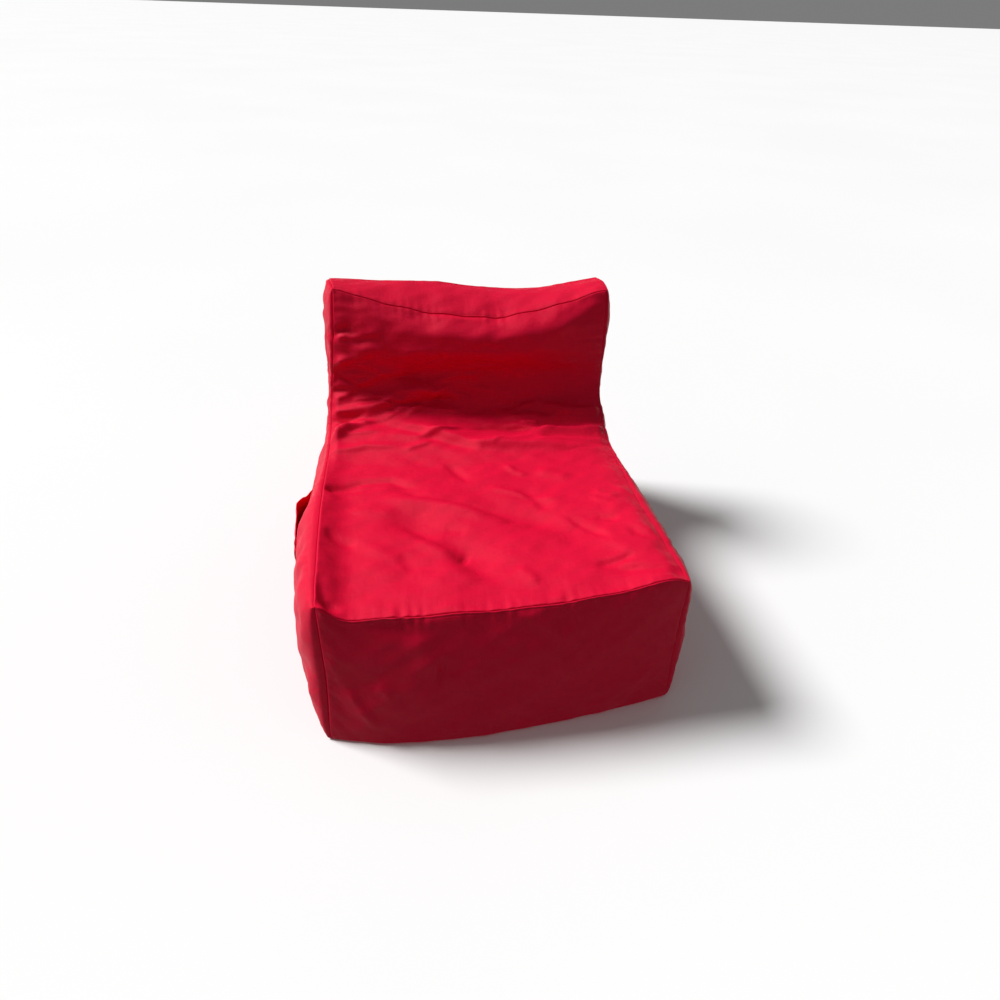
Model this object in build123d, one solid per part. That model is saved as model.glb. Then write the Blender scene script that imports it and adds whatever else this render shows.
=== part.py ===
from build123d import *
import math
import os

# Bean bag lounge chair: a sewn cover of flat-cut panels with a side pocket, a grab handle and
# a rear zip, round a zipped liner bag full of beads.
# Millimetres. +X to the sitter's left, +Y towards the backrest, +Z up.
# The origin is on the floor, at the middle of the base panel.

# ---------------------------------------------------------------- driving sizes
overall_width = 790.0  # across the two crowned sides, at their fullest
seat_height = 325.0  # front top seam above the floor
seat_length = 700.0  # front top seam to the crease under the backrest
crease_height = 316.0
crease_radius = 85.0
back_height = 652.0  # top seams above the floor
back_lean = 35.0  # the top front seam stands this far behind the crease
top_band_depth = 102.0  # top front seam to top rear seam
rear_rake = 48.0  # the top of the back stands this far forward of its foot
rear_upright = 150.0  # height of the plumb strip at the bottom of the back

side_crown = 45.0  # how far a side stands out past its front top corner
side_crown_height = 195.0  # of a side's fullest point, midway along the base
front_crown = 28.0
seat_crown = 16.0
back_crown = 8.0
top_crown = 6.0

cover_thickness = 1.0
liner_thickness = 0.8
liner_gap = 3.0  # between cover and liner, all round but the rear
liner_rear_gap = 9.0  # between cover and liner behind the zip
fill_gap = 0.4  # between liner and beads

zip_height = 75.0  # of the cover's and the liner's zip lines above the floor
zip_slot = 20.0  # width of the opening between the two rear panels
zip_seam_inset = 18.0  # from each side seam to the end of the zip's rows
tape_width = 16.0
tape_thickness = 0.6
row_gap = 1.2  # between the two closed rows, where the slider's web runs
row_width = 2.0
row_height = 2.0
stop_length = 3.0

slider_length = 15.0
slider_width = 10.0
slider_wall = 1.2
slider_clearance = 0.3  # between the slider and the rows or tapes
slider_park = 12.0  # slider centre to the closed end of the rows
web_thickness = 0.9
web_length = 5.0
bail_length = 10.0
bail_height = 3.0
bail_thickness = 1.1
bail_width = 1.8

pull_length = 30.0  # from its hinge bar to its tip
pull_width = 7.0
pull_thickness = 1.2
pull_side_clearance = 0.6  # between the bail and the pull's window
pull_tip_hole = 2.4

liner_slot = 14.0
liner_zip_length = 500.0
liner_tape_overlap = 6.0  # of each liner tape behind the liner, and past the slot's ends
trench_clearance = 1.0  # between the beads and what the liner zip holds inside

handle_drop = 92.0  # of the handle's anchors below the top seams
handle_span = 216.0  # between the two anchors
handle_reach = 42.0  # hinge line to the outside of the loop's middle
handle_thickness = 2.4
handle_width = 26.0  # at the middle of the loop
handle_end_width = 12.0
handle_standoff = 9.0  # hinge line to the rear panel
handle_droop = 78.0  # degrees below straight out, at rest
handle_end_gap = 0.3
anchor_length = 46.0
anchor_width = 40.0
anchor_thickness = 2.0

pocket_width = 292.0
pocket_front_y = -176.0  # front edge of the pocket
pocket_fold = 174.0  # from its front edge to the fold its mouth gapes at
pocket_bottom = 60.0  # above the floor
pocket_height = 190.0
pocket_gape = 28.0  # how far the mouth stands out at the fold
pocket_thickness = 1.0
pocket_hem_height = 20.0
pocket_hem_extra = 1.0  # the hem is this much thicker
pocket_backing_thickness = 0.8
pocket_backing_margin = 10.0
pocket_bite = 0.3  # how deep the front runs into the backing before it is trimmed
pocket_steps = 3  # straight runs up the pocket
pocket_runs = 4  # straight runs from the fold to either edge

label_width = 34.0
label_height = 50.0
label_thickness = 0.5
label_from_seam = 60.0  # to the nearer edge of the label
label_above_knee = 20.0  # lower edge of the label above the plumb strip

# ---------------------------------------------------------------- sizes worked out from them
depth = seat_length + back_lean + top_band_depth + rear_rake
front_y = -depth / 2
rear_y = depth / 2
half_width = overall_width / 2
crease_y = front_y + seat_length
top_front_y = crease_y + back_lean
top_rear_y = top_front_y + top_band_depth
reach = 2 * (overall_width + depth + back_height)  # larger than the chair

FRONT_BOTTOM = (front_y, 0)
FRONT_TOP = (front_y, seat_height)
CREASE = (crease_y, crease_height)
BACK_TOP = (top_front_y, back_height)
REAR_TOP = (top_rear_y, back_height)
REAR_KNEE = (rear_y, rear_upright)
REAR_BOTTOM = (rear_y, 0)

# Each side is part of one large sphere, so it is fullest midway along and bows in all round.
crown_run = math.dist(FRONT_TOP, (0, side_crown_height))
crown_radius = (crown_run**2 + side_crown**2) / (2 * side_crown)

tape_face_y = rear_y - cover_thickness  # outer face of the zip's tapes
liner_face_y = tape_face_y - liner_rear_gap
liner_tape_face_y = liner_face_y - liner_thickness

rear_slope = math.atan2(rear_rake, back_height - rear_upright)
handle_height = back_height - handle_drop


# ---------------------------------------------------------------- shared shapes
CORNERS = [FRONT_BOTTOM, FRONT_TOP, CREASE, BACK_TOP, REAR_TOP, REAR_KNEE, REAR_BOTTOM]
CROWNS = [front_crown, seat_crown, back_crown, top_crown, 0, 0, 0]  # of the side after each
REAR_SIDES = (4, 5)


def drawn_in(inset, rear_extra=0.0):
    """The outline's corners with each side drawn in by inset, the rear by rear_extra more."""
    count = len(CORNERS)
    lines = []
    for i, start in enumerate(CORNERS):
        end = CORNERS[(i + 1) % count]
        run = math.dist(start, end)
        along = ((end[0] - start[0]) / run, (end[1] - start[1]) / run)
        by = inset + (rear_extra if i in REAR_SIDES else 0)
        lines.append(((start[0] + along[1] * by, start[1] - along[0] * by), along))
    corners = []
    for i in range(count):
        (start_a, along_a), (start_b, along_b) = lines[i - 1], lines[i]
        gap_y, gap_z = start_b[0] - start_a[0], start_b[1] - start_a[1]
        turn = along_a[0] * along_b[1] - along_a[1] * along_b[0]
        reach_a = (gap_y * along_b[1] - gap_z * along_b[0]) / turn
        corners.append((start_a[0] + along_a[0] * reach_a, start_a[1] + along_a[1] * reach_a))
    return corners


def arc_between(a, b, crown):
    """An edge from a to b in the side view, standing out by crown to the left of its way."""
    if crown == 0:
        return Line(a, b)
    run = math.dist(a, b)
    middle_y = (a[0] + b[0]) / 2 - crown * (b[1] - a[1]) / run
    middle_z = (a[1] + b[1]) / 2 + crown * (b[0] - a[0]) / run
    return ThreePointArc(a, (middle_y, middle_z), b)


def side_outline(inset=0.0, rear_extra=0.0):
    """The chair's outline from the side, drawn in, as a face in the plane of Y and Z."""
    corners = drawn_in(inset, rear_extra)
    ends = corners[1:] + corners[:1]
    face = make_face([arc_between(a, b, crown) for a, b, crown in zip(corners, ends, CROWNS)])
    crease = face.vertices().sort_by_distance((*corners[2], 0))[0]
    return fillet(crease, crease_radius + inset)


def across(face):
    """A side view face as a solid right through the chair and past its sides."""
    return extrude(Plane.YZ * face, amount=overall_width, both=True)


def side_sphere(side, inset=0.0):
    """The sphere that the right (-1) or left (+1) side lies on, drawn in by inset."""
    centre_x = side * (half_width - crown_radius)
    return Pos(centre_x, 0, side_crown_height) * Rot(0, 0, 90) * Sphere(crown_radius - inset)


def between_sides(shape, inset):
    """What of a shape lies inside both sides, each drawn in by inset."""
    return shape & side_sphere(-1, inset) & side_sphere(1, inset)


def side_x(y, z, side=1, inset=0.0):
    """Where the side's surface is at that y and z."""
    off = math.hypot(y, z - side_crown_height)
    return side * (half_width - crown_radius + math.sqrt((crown_radius - inset) ** 2 - off**2))


def block(x0, x1, y0, y1, z0, z1):
    """A box between those limits."""
    size = (x1 - x0, y1 - y0, z1 - z0)
    return Pos((x0 + x1) / 2, (y0 + y1) / 2, (z0 + z1) / 2) * Box(*size)


# ---------------------------------------------------------------- cover
def band_panel(region):
    """The part of the band of fabric round the outline that a side view polygon holds."""
    ring = side_outline() - side_outline(cover_thickness)
    strip = ring & make_face(Polyline(*region, close=True))
    return between_sides(across(strip), cover_thickness)


def cover_panels():
    """The panels between the two sides. Neighbours meet on a mitre at each seam."""
    out_by = 40.0
    front_bottom, front_top, _, back_top, rear_top, rear_knee, rear_bottom = range(7)
    outer, inner = drawn_in(-out_by), drawn_in(out_by)
    slot_bottom, slot_top = zip_span(zip_slot)
    behind, before = rear_y + out_by, rear_y - out_by
    front = [outer[front_bottom], outer[front_top], inner[front_top], inner[front_bottom]]
    above_seat = (outer[front_top][0], outer[back_top][1])
    under_crease = (crease_y + out_by, crease_height - out_by)
    seat = [outer[front_top], above_seat, outer[back_top], inner[back_top], under_crease]
    top = [outer[back_top], outer[rear_top], inner[rear_top], inner[back_top]]
    upper = [outer[rear_top], (behind, back_height), (behind, slot_top), (before, slot_top)]
    lower = [(behind, slot_bottom), outer[rear_bottom], inner[rear_bottom], (before, slot_bottom)]
    base = [outer[rear_bottom], outer[front_bottom], inner[front_bottom], inner[rear_bottom]]
    return {
        "front_panel": band_panel(front),
        "seat_and_back_panel": band_panel([*seat, inner[front_top]]),
        "top_band_panel": band_panel(top),
        "rear_panel_upper": band_panel([*upper, inner[rear_knee], inner[rear_top]]),
        "rear_panel_lower": band_panel(lower),
        "base_panel": band_panel(base),
    }


def side_panel(side):
    """A crowned side of the cover, out to the edges of the band."""
    half_space = block(*sorted((0, side * reach)), -reach, reach, -reach, reach)
    blank = across(side_outline()) & half_space
    return (blank & side_sphere(side)) - side_sphere(side, cover_thickness)


# ---------------------------------------------------------------- liner and beads
def liner_body(extra):
    """The closed shape of the liner's outside, drawn in by extra."""
    inset = cover_thickness + liner_gap + extra
    return between_sides(across(side_outline(inset, liner_rear_gap - liner_gap)), inset)


def inner_liner():
    """A closed bag with a slot for its own zip."""
    bag = liner_body(0) - liner_body(liner_thickness)
    half = liner_zip_length / 2
    slot = block(-half, half, liner_face_y - 2 * liner_thickness, rear_y, *zip_span(liner_slot))
    return bag - slot


def zip_span(width):
    """Lower and upper Z of a strip of that width along the zip's line."""
    return zip_height - width / 2, zip_height + width / 2


def bead_fill():
    """The beads as one body, with a trench behind the liner's zip."""
    body = liner_body(liner_thickness + fill_gap)
    inside = tape_thickness + slider_clearance + slider_wall + trench_clearance
    half = liner_zip_length / 2 + liner_tape_overlap + trench_clearance
    width = liner_slot + 2 * (liner_tape_overlap + trench_clearance)
    trench = block(-half, half, liner_tape_face_y - inside, rear_y, *zip_span(width))
    return body - trench


# ---------------------------------------------------------------- zips
def tape(face_y, width, half_length, row):
    """One tape: row is +1 for the upper and -1 for the lower one."""
    near, far = zip_height + row * row_gap / 2, zip_height + row * width
    z0, z1 = sorted((near, far))
    return block(-half_length, half_length, face_y - tape_thickness, face_y, z0, z1)


def row_of_teeth(face_y, half_length, row):
    """One closed row, as the ridge that its coil fills."""
    near = zip_height + row * row_gap / 2
    z0, z1 = sorted((near, near + row * row_width))
    return block(-half_length, half_length, face_y, face_y + row_height, z0, z1)


def end_stops(face_y, half_length):
    """A stop clamped over both rows past each of their ends."""
    across_z = row_gap / 2 + row_width
    stops = []
    for end in (-1, 1):
        near = end * (half_length + slider_clearance)
        x0, x1 = sorted((near, near + end * stop_length))
        stops.append(block(x0, x1, face_y, face_y + row_height, zip_height - across_z, zip_height + across_z))
    return Compound(stops)


def slider(face_y, centre_x, with_bail):
    """Top plate, bottom plate, the web between them, side flanges and, if asked, a bail."""
    plate_y = face_y + row_height + slider_clearance
    half = slider_width / 2
    x0, x1 = centre_x - slider_length / 2, centre_x + slider_length / 2
    under_y = face_y - tape_thickness - slider_clearance
    top_plate = block(x0, x1, plate_y, plate_y + slider_wall, zip_height - half, zip_height + half)
    bottom_plate = block(x0, x1, under_y - slider_wall, under_y, zip_height - half, zip_height + half)
    web_z0, web_z1 = zip_height - web_thickness / 2, zip_height + web_thickness / 2
    web_y0, web_y1 = under_y - slider_wall / 2, plate_y + slider_wall / 2
    web = block(x1 - web_length, x1, web_y0, web_y1, web_z0, web_z1)
    body = top_plate + bottom_plate + web
    flange_near = row_gap / 2 + row_width + slider_clearance
    for row in (-1, 1):
        z0, z1 = sorted((zip_height + row * flange_near, zip_height + row * half))
        body += block(x0, x1, face_y + slider_clearance, plate_y + slider_wall / 2, z0, z1)
    if with_bail:
        foot_y = plate_y + slider_wall / 2
        top_y = plate_y + slider_wall + bail_height
        half_bail, half_wide = bail_length / 2, bail_width / 2
        bail_x0, bail_x1 = centre_x - half_bail, centre_x + half_bail
        frame = block(bail_x0, bail_x1, foot_y, top_y, zip_height - half_wide, zip_height + half_wide)
        hole = block(
            bail_x0 + bail_thickness,
            bail_x1 - bail_thickness,
            plate_y + slider_wall,
            top_y - bail_thickness,
            zip_height - slider_width,
            zip_height + slider_width,
        )
        body += frame - hole
    return body


def pull_axis_y():
    """Y of the pull's hinge bar, in the middle of the bail's hole."""
    plate_top_y = tape_face_y + row_height + slider_clearance + slider_wall
    return plate_top_y + (bail_height - bail_thickness) / 2


def zip_pull(centre_x):
    """A flat pull lying along the zip, with a bar through the bail and a window round it."""
    y0, y1 = pull_axis_y() - pull_thickness / 2, pull_axis_y() + pull_thickness / 2
    half = pull_width / 2
    plate = block(centre_x - pull_length, centre_x, y0, y1, zip_height - half, zip_height + half)
    far_edge = plate.edges().filter_by(Axis.Y).group_by(Axis.X)[0]
    plate = fillet(far_edge, half - pull_tip_hole / 2)
    window_z = bail_width / 2 + pull_side_clearance
    window_x = math.hypot(bail_length / 2, (bail_height + bail_thickness) / 2) + pull_side_clearance
    plate -= block(centre_x - window_x, centre_x + half, y0, y1, zip_height - window_z, zip_height + window_z)
    tip = Pos(centre_x - pull_length + half, pull_axis_y(), zip_height) * Rot(90, 0, 0)
    plate -= tip * Cylinder(pull_tip_hole / 2, 2 * pull_thickness)
    bar = Pos(centre_x, pull_axis_y(), zip_height) * Cylinder(pull_thickness / 2, pull_width)
    return plate + bar


def zip_half_length():
    """Half the length of the cover zip's closed rows."""
    return side_x(rear_y, zip_height, inset=cover_thickness) - zip_seam_inset


def cover_zip():
    """The cover's zip from side seam to side seam, its slider parked at the +X end."""
    half = zip_half_length()
    park = half - slider_park
    parts = {}
    for name, row in (("upper", 1), ("lower", -1)):
        full = tape(tape_face_y, tape_width, half_width, row)
        parts[f"zip_tape_{name}"] = between_sides(full, cover_thickness)
        parts[f"zip_coil_{name}"] = row_of_teeth(tape_face_y, half, row)
    parts["zip_end_stops"] = end_stops(tape_face_y, half)
    parts["zip_slider"] = slider(tape_face_y, park, with_bail=True)
    parts["zip_pull"] = zip_pull(park)
    return parts


def liner_zip():
    """The liner's own zip, with a slider that has no pull."""
    half = liner_zip_length / 2 - stop_length - slider_clearance
    width = liner_slot / 2 + liner_tape_overlap
    parts = {}
    for name, row in (("upper", 1), ("lower", -1)):
        tape_half = liner_zip_length / 2 + liner_tape_overlap
        parts[f"liner_zip_tape_{name}"] = tape(liner_tape_face_y, width, tape_half, row)
        parts[f"liner_zip_coil_{name}"] = row_of_teeth(liner_tape_face_y, half, row)
    parts["liner_zip_end_stops"] = end_stops(liner_tape_face_y, half)
    parts["liner_zip_slider"] = slider(liner_tape_face_y, half - slider_park, with_bail=False)
    return parts


# ---------------------------------------------------------------- grab handle
def rear_frame(z):
    """A plane on the sloping rear panel at height z: X across, Y up the slope, Z outwards."""
    y = rear_y - (z - rear_upright) * math.tan(rear_slope)
    outward = (0, math.cos(rear_slope), math.sin(rear_slope))
    return Plane(origin=(0, y, z), x_dir=(-1, 0, 0), z_dir=outward)


def handle_loop():
    """The loop between the anchors, hanging at its droop angle from the hinge line."""
    half = handle_span / 2 - handle_end_gap
    sides = make_face(
        [
            ThreePointArc((-half, 0), (0, handle_reach), (half, 0)),
            Line((half, 0), (half - handle_thickness, 0)),
            ThreePointArc(
                (half - handle_thickness, 0),
                (0, handle_reach - handle_thickness),
                (handle_thickness - half, 0),
            ),
            Line((handle_thickness - half, 0), (-half, 0)),
        ]
    )
    strap = extrude(sides, amount=handle_width, both=True)
    end, middle = handle_end_width / 2, handle_width / 2
    taper = make_face(
        [
            ThreePointArc((-half, end), (0, middle), (half, end)),
            Line((half, end), (half, -end)),
            ThreePointArc((half, -end), (0, -middle), (-half, -end)),
            Line((-half, -end), (-half, end)),
        ]
    )
    strap = strap & extrude(Rot(90, 0, 0) * taper, amount=2 * handle_reach, both=True)
    hang = Pos(0, 0, handle_standoff) * Rot(handle_droop, 0, 0) * Rot(90, 0, 0)
    return rear_frame(handle_height).location * hang * strap


def handle_anchor(side):
    """A patch sewn flat on the rear panel, with a ramp that lifts the strap to the hinge line."""
    near, far = handle_span / 2, handle_span / 2 + anchor_length
    ramp_end = near + anchor_length / 3
    patch = block(ramp_end, far, -anchor_width / 2, anchor_width / 2, 0, anchor_thickness)
    ramp_side = make_face(
        Polyline(
            (ramp_end + anchor_thickness, 0),
            (ramp_end + anchor_thickness, anchor_thickness),
            (near, handle_standoff + handle_thickness / 2),
            (near, handle_standoff - handle_thickness / 2),
            (ramp_end, 0),
            close=True,
        )
    )
    ramp = extrude(Rot(90, 0, 0) * ramp_side, amount=handle_end_width / 2, both=True)
    anchor = patch + ramp
    if side > 0:
        anchor = mirror(anchor, Plane.YZ)
    return rear_frame(handle_height).location * anchor


# ---------------------------------------------------------------- side pocket
def pocket_gap(y, z):
    """How far the pocket's front stands off its backing: none at its edges, most at its mouth."""
    fold_y = pocket_front_y + pocket_fold
    back_y = pocket_front_y + pocket_width
    run = y - pocket_front_y if y < fold_y else back_y - y
    whole = pocket_fold if y < fold_y else pocket_width - pocket_fold
    return pocket_gape * (run / whole) * (z - pocket_bottom) / pocket_height


def pocket_section(z, thickness):
    """The front's section at height z, a thin strip that follows the side round to its fold."""
    fold_y = pocket_front_y + pocket_fold
    back_y = pocket_front_y + pocket_width
    stations = [pocket_front_y + pocket_fold * i / pocket_runs for i in range(pocket_runs)]
    stations += [fold_y + (back_y - fold_y) * i / pocket_runs for i in range(pocket_runs + 1)]
    out, back = [], []
    for y in stations:
        wall = side_x(y, z, inset=-pocket_backing_thickness) + pocket_gap(y, z)
        out.append((-wall - thickness, y))
        back.append((-wall + pocket_bite, y))
    return Pos(0, 0, z) * make_face(Polyline(*out, *reversed(back), close=True))


def pocket_wall(low, high, thickness):
    """The pocket's front between two heights, trimmed where it meets the backing."""
    heights = [low + (high - low) * i / pocket_steps for i in range(pocket_steps + 1)]
    wall = loft([pocket_section(z, thickness) for z in heights], ruled=True)
    return wall - side_sphere(-1, -pocket_backing_thickness)


def side_pocket():
    """A patch pocket on the right side: backing, gaping front and the folded hem of its mouth."""
    mouth_z = pocket_bottom + pocket_height
    hem_z = mouth_z - pocket_hem_height
    y0, y1 = pocket_front_y, pocket_front_y + pocket_width
    margin = pocket_backing_margin
    wide = block(-reach, 0, y0 - margin, y1 + margin, pocket_bottom - margin, mouth_z + margin)
    return {
        "side_pocket_backing": (wide & side_sphere(-1, -pocket_backing_thickness)) - side_sphere(-1),
        "side_pocket_front": pocket_wall(pocket_bottom, hem_z, pocket_thickness),
        "side_pocket_hem": pocket_wall(hem_z, mouth_z, pocket_thickness + pocket_hem_extra),
    }


def care_label():
    """A blank label sewn flat on the sloping rear panel, near the right side seam."""
    z = rear_upright + label_above_knee + label_height / 2
    frame = rear_frame(z)
    seam_x = side_x(frame.origin.Y, z)
    near, far = seam_x - label_from_seam - label_width, seam_x - label_from_seam
    tall = label_height / 2
    return frame.location * block(near, far, -tall, tall, 0, label_thickness)


# ---------------------------------------------------------------- the whole chair
def all_parts():
    """Every node's name and shape."""
    parts = cover_panels()
    parts["side_panel_left"] = side_panel(1)
    parts["side_panel_right"] = side_panel(-1)
    parts["inner_liner"] = inner_liner()
    parts["bead_fill"] = bead_fill()
    parts["handle_loop"] = handle_loop()
    parts["handle_anchor_left"] = handle_anchor(1)
    parts["handle_anchor_right"] = handle_anchor(-1)
    parts["care_label"] = care_label()
    parts.update(cover_zip())
    parts.update(liner_zip())
    parts.update(side_pocket())
    return parts


def main():
    os.makedirs("parts", exist_ok=True)
    for name, shape in all_parts().items():
        solids = shape.solids()
        export_step(solids[0] if len(solids) == 1 else Compound(solids), f"parts/{name}.step")
    hinge = rear_frame(handle_height).location * Pos(0, 0, handle_standoff)
    half = zip_half_length()
    print("handle hinge", tuple(hinge.position), "pull hinge", (half - slider_park, pull_axis_y(), zip_height))
    print("cover slider travel", 2 * (half - slider_park))
    print("liner slider travel", liner_zip_length - 2 * (stop_length + slider_clearance + slider_park))


main()
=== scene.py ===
import math

import bpy
import numpy as np
from mathutils import Matrix, Vector


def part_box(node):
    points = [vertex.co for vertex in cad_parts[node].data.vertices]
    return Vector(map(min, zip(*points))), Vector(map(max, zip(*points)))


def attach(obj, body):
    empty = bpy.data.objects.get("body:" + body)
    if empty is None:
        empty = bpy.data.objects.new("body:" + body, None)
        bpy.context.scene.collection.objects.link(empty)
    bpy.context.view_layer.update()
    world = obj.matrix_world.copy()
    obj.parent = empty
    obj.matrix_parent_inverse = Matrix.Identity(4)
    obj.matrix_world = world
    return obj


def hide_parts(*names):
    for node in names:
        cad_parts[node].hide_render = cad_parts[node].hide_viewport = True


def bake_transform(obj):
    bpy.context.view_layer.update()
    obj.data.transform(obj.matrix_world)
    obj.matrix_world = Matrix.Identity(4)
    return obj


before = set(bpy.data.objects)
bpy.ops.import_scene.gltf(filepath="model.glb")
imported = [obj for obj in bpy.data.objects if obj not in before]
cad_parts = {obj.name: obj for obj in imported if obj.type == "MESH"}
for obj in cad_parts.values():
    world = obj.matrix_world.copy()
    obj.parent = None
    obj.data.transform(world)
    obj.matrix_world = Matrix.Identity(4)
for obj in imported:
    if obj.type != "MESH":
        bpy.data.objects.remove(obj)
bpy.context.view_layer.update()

# Metres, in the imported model's frame: +X to the sitter's left, +Y to the backrest, +Z up.

# ------------------------------------------------------------------ sizes from the frame
FRONT_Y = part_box("base_panel")[0][1]
REAR_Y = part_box("rear_panel_lower")[1][1]
TOP_FRONT_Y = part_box("top_band_panel")[0][1]
TOP_REAR_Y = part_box("top_band_panel")[1][1]
TOP_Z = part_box("rear_panel_upper")[1][2]
SLOT_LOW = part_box("rear_panel_lower")[1][2]
SLOT_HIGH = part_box("rear_panel_upper")[0][2]
CREASE_Y = TOP_FRONT_Y - 0.035
CREASE_Z = 0.316
CREASE_RADIUS = 0.085
REAR_UPRIGHT = 0.150
CLOTH = 0.001  # thickness of the cover's cloth

# Cells of the cloth grid along each stretch of the side outline, and across the chair.
N_LOW, N_SEAT, N_HIGH, N_DEEP, N_WIDE = 76, 168, 80, 28, 160
ROW_FT = N_LOW
ROW_CREASE = ROW_FT + N_SEAT
ROW_BT = ROW_CREASE + N_HIGH
ROW_RT = ROW_BT + N_DEEP
ROW_RC = ROW_RT + N_HIGH  # rear, level with the crease
ROW_RB = ROW_RC + N_LOW
N_RING = ROW_RB + N_DEEP + N_SEAT
N_SLOPE, N_STRIP, N_SLOT = 42, 14, 6  # rear cells: level of the crease, knee, zip slot
ROW_SLOT_HIGH = ROW_RC + N_SLOPE + N_STRIP
ROW_SLOT_LOW = ROW_SLOT_HIGH + N_SLOT


# ------------------------------------------------------------------ camera
def make_camera():
    data = bpy.data.cameras.new("camera")
    data.sensor_width = 36.0
    data.lens = 26.35
    camera = bpy.data.objects.new("camera", data)
    bpy.context.collection.objects.link(camera)
    forward = Vector((0.13476, 0.81382, -0.56528))
    right = Vector((0.98928, -0.14291, 0.03010))
    up = right.cross(forward)
    turn = Matrix((right, up, -forward)).transposed()
    camera.matrix_world = Matrix.Translation((-0.1874, -0.9914 + FRONT_Y, 1.2269)) @ turn.to_4x4()
    bpy.context.scene.camera = camera


make_camera()


# ------------------------------------------------------------------ small tools
def smooth_step(x):
    x = np.clip(x, 0.0, 1.0)
    return x * x * (3 - 2 * x)


def bell(x):
    return np.exp(-np.square(x))


def along_curve(points, count):
    """count + 1 points at even distances along a polyline."""
    points = np.asarray(points, float)
    steps = np.linalg.norm(np.diff(points, axis=0), axis=1)
    at = np.concatenate([[0], np.cumsum(steps)])
    want = np.linspace(0, at[-1], count + 1)
    return np.stack([np.interp(want, at, points[:, i]) for i in range(3)], axis=1)


def waves(seed, count, size, points):
    """Smooth random values, about -1 to 1, with bumps about size across, at an array of points."""
    rng = np.random.default_rng(seed)
    total = np.zeros(points.shape[:-1])
    for _ in range(count):
        direction = rng.normal(size=points.shape[-1])
        direction *= 2 * math.pi / (size * rng.uniform(0.7, 1.5) * np.linalg.norm(direction))
        total += np.sin(points @ direction + rng.uniform(0, 2 * math.pi))
    return total / math.sqrt(count)


class Line:
    """A height or depth measured at a few places across the chair, eased between them."""

    def __init__(self, places, values, ease=0.012):
        fine = np.linspace(-0.40, 0.40, 801)
        raw = np.interp(fine, places, values)
        step = fine[1] - fine[0]
        reach = np.arange(-40, 41) * step
        kernel = bell(reach / ease)
        padded = np.pad(raw, 40, mode="edge")
        self.fine = fine
        self.values = np.convolve(padded, kernel / kernel.sum(), mode="valid")

    def at(self, x):
        return float(np.interp(x, self.fine, self.values))


# ------------------------------------------------------------------ the bag's filled shape
HALF_SEAM = 0.350
# Right and left: how far the seam beside the top of the backrest's face stands in from its side,
# how much less the side swells by the crease, and how much of that comes back beside the backrest.
DRAWN_IN = {-1: 0.018, 1: 0.010}
CREASE_PULL = {-1: 0.66, 1: 0.58}
BACK_SWELL = {-1: 0.36, 1: 0.50}
FRONT_FOOT = Line(
    [-0.353, -0.254, -0.136, -0.055, 0.070, 0.203, 0.300, 0.361],
    [-0.469, -0.495, -0.502, -0.500, -0.489, -0.471, -0.454, -0.437],
    ease=0.035,
)
FRONT_SEAM_Z = Line(
    [-0.352, -0.338, -0.312, -0.290, -0.183, -0.087, 0.007, 0.112, 0.199, 0.295, 0.325, 0.345],
    [0.337, 0.328, 0.308, 0.302, 0.306, 0.309, 0.309, 0.314, 0.322, 0.337, 0.338, 0.328],
    ease=0.010,
)
TOP_FRONT_Z = Line(
    [-0.335, -0.255, -0.115, 0.055, 0.204, 0.300, 0.351],
    [0.655, 0.629, 0.599, 0.582, 0.606, 0.630, 0.645],
    ease=0.025,
)
TOP_REAR_Z = Line(
    [-0.335, -0.219, -0.070, 0.005, 0.121, 0.199, 0.277, 0.345],
    [0.648, 0.641, 0.637, 0.624, 0.614, 0.615, 0.629, 0.641],
    ease=0.018,
)


def bow(t):
    return 1 - t * t


def front_bottom(t):
    return np.array([0, FRONT_FOOT.at(t * HALF_SEAM), 0.004])


def front_top(t):
    y = FRONT_Y - 0.004 + 0.002 * t - 0.016 * bow(t)
    return np.array([0, y, FRONT_SEAM_Z.at(t * HALF_SEAM) + 0.0012 * math.sin(17 * t)])


def back_top(t):
    y = TOP_FRONT_Y - 0.022 * bow(t) ** 1.2
    return np.array([0, y, TOP_FRONT_Z.at(t * HALF_SEAM) + 0.0015 * math.sin(23 * t)])


def rear_y(z):
    """The sloping rear's Y at a height above the plumb strip."""
    return REAR_Y + (TOP_REAR_Y - REAR_Y) * (z - REAR_UPRIGHT) / (TOP_Z - REAR_UPRIGHT)


def rear_top(t):
    z = TOP_REAR_Z.at(t * HALF_SEAM)
    return np.array([0, rear_y(z), z])


def rear_bottom(t):
    return np.array([0, REAR_Y, 0.004])


def side_edges():
    """X of the right (-) and left (+) side seams at each row of the ring."""
    rows = [0, 38, ROW_FT, ROW_FT + 23, ROW_FT + 76, ROW_FT + 134, ROW_CREASE, ROW_BT - 38, ROW_BT]
    rows += [ROW_RT, ROW_RC, ROW_RB - 19, ROW_RB, ROW_RB + 76, N_RING]
    right = [-352, -344, -349, -352, -355, -352, -347, -344, -336, -331, -346, -349.5, -349.5, -352, -352]
    left = [354, 346, 347, 336, 325, 333, 345, 353, 357, 347, 349, 349.5, 349.5, 351, 354]
    at = np.arange(N_RING + 1)
    both = [np.interp(at, rows, np.array(edge) / 1000) for edge in (right, left)]
    return [smooth_along(edge, rows=(0, ROW_FT, ROW_BT, ROW_RT, ROW_RB, N_RING)) for edge in both]


def smooth_along(values, rows, times=220):
    """Values smoothed along the ring between the rows given, which keep theirs."""
    values = values.copy()
    keep = values[list(rows)].copy()
    for _ in range(times):
        values[1:-1] = (values[:-2] + 2 * values[1:-1] + values[2:]) / 4
        values[list(rows)] = keep
    return values


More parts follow.
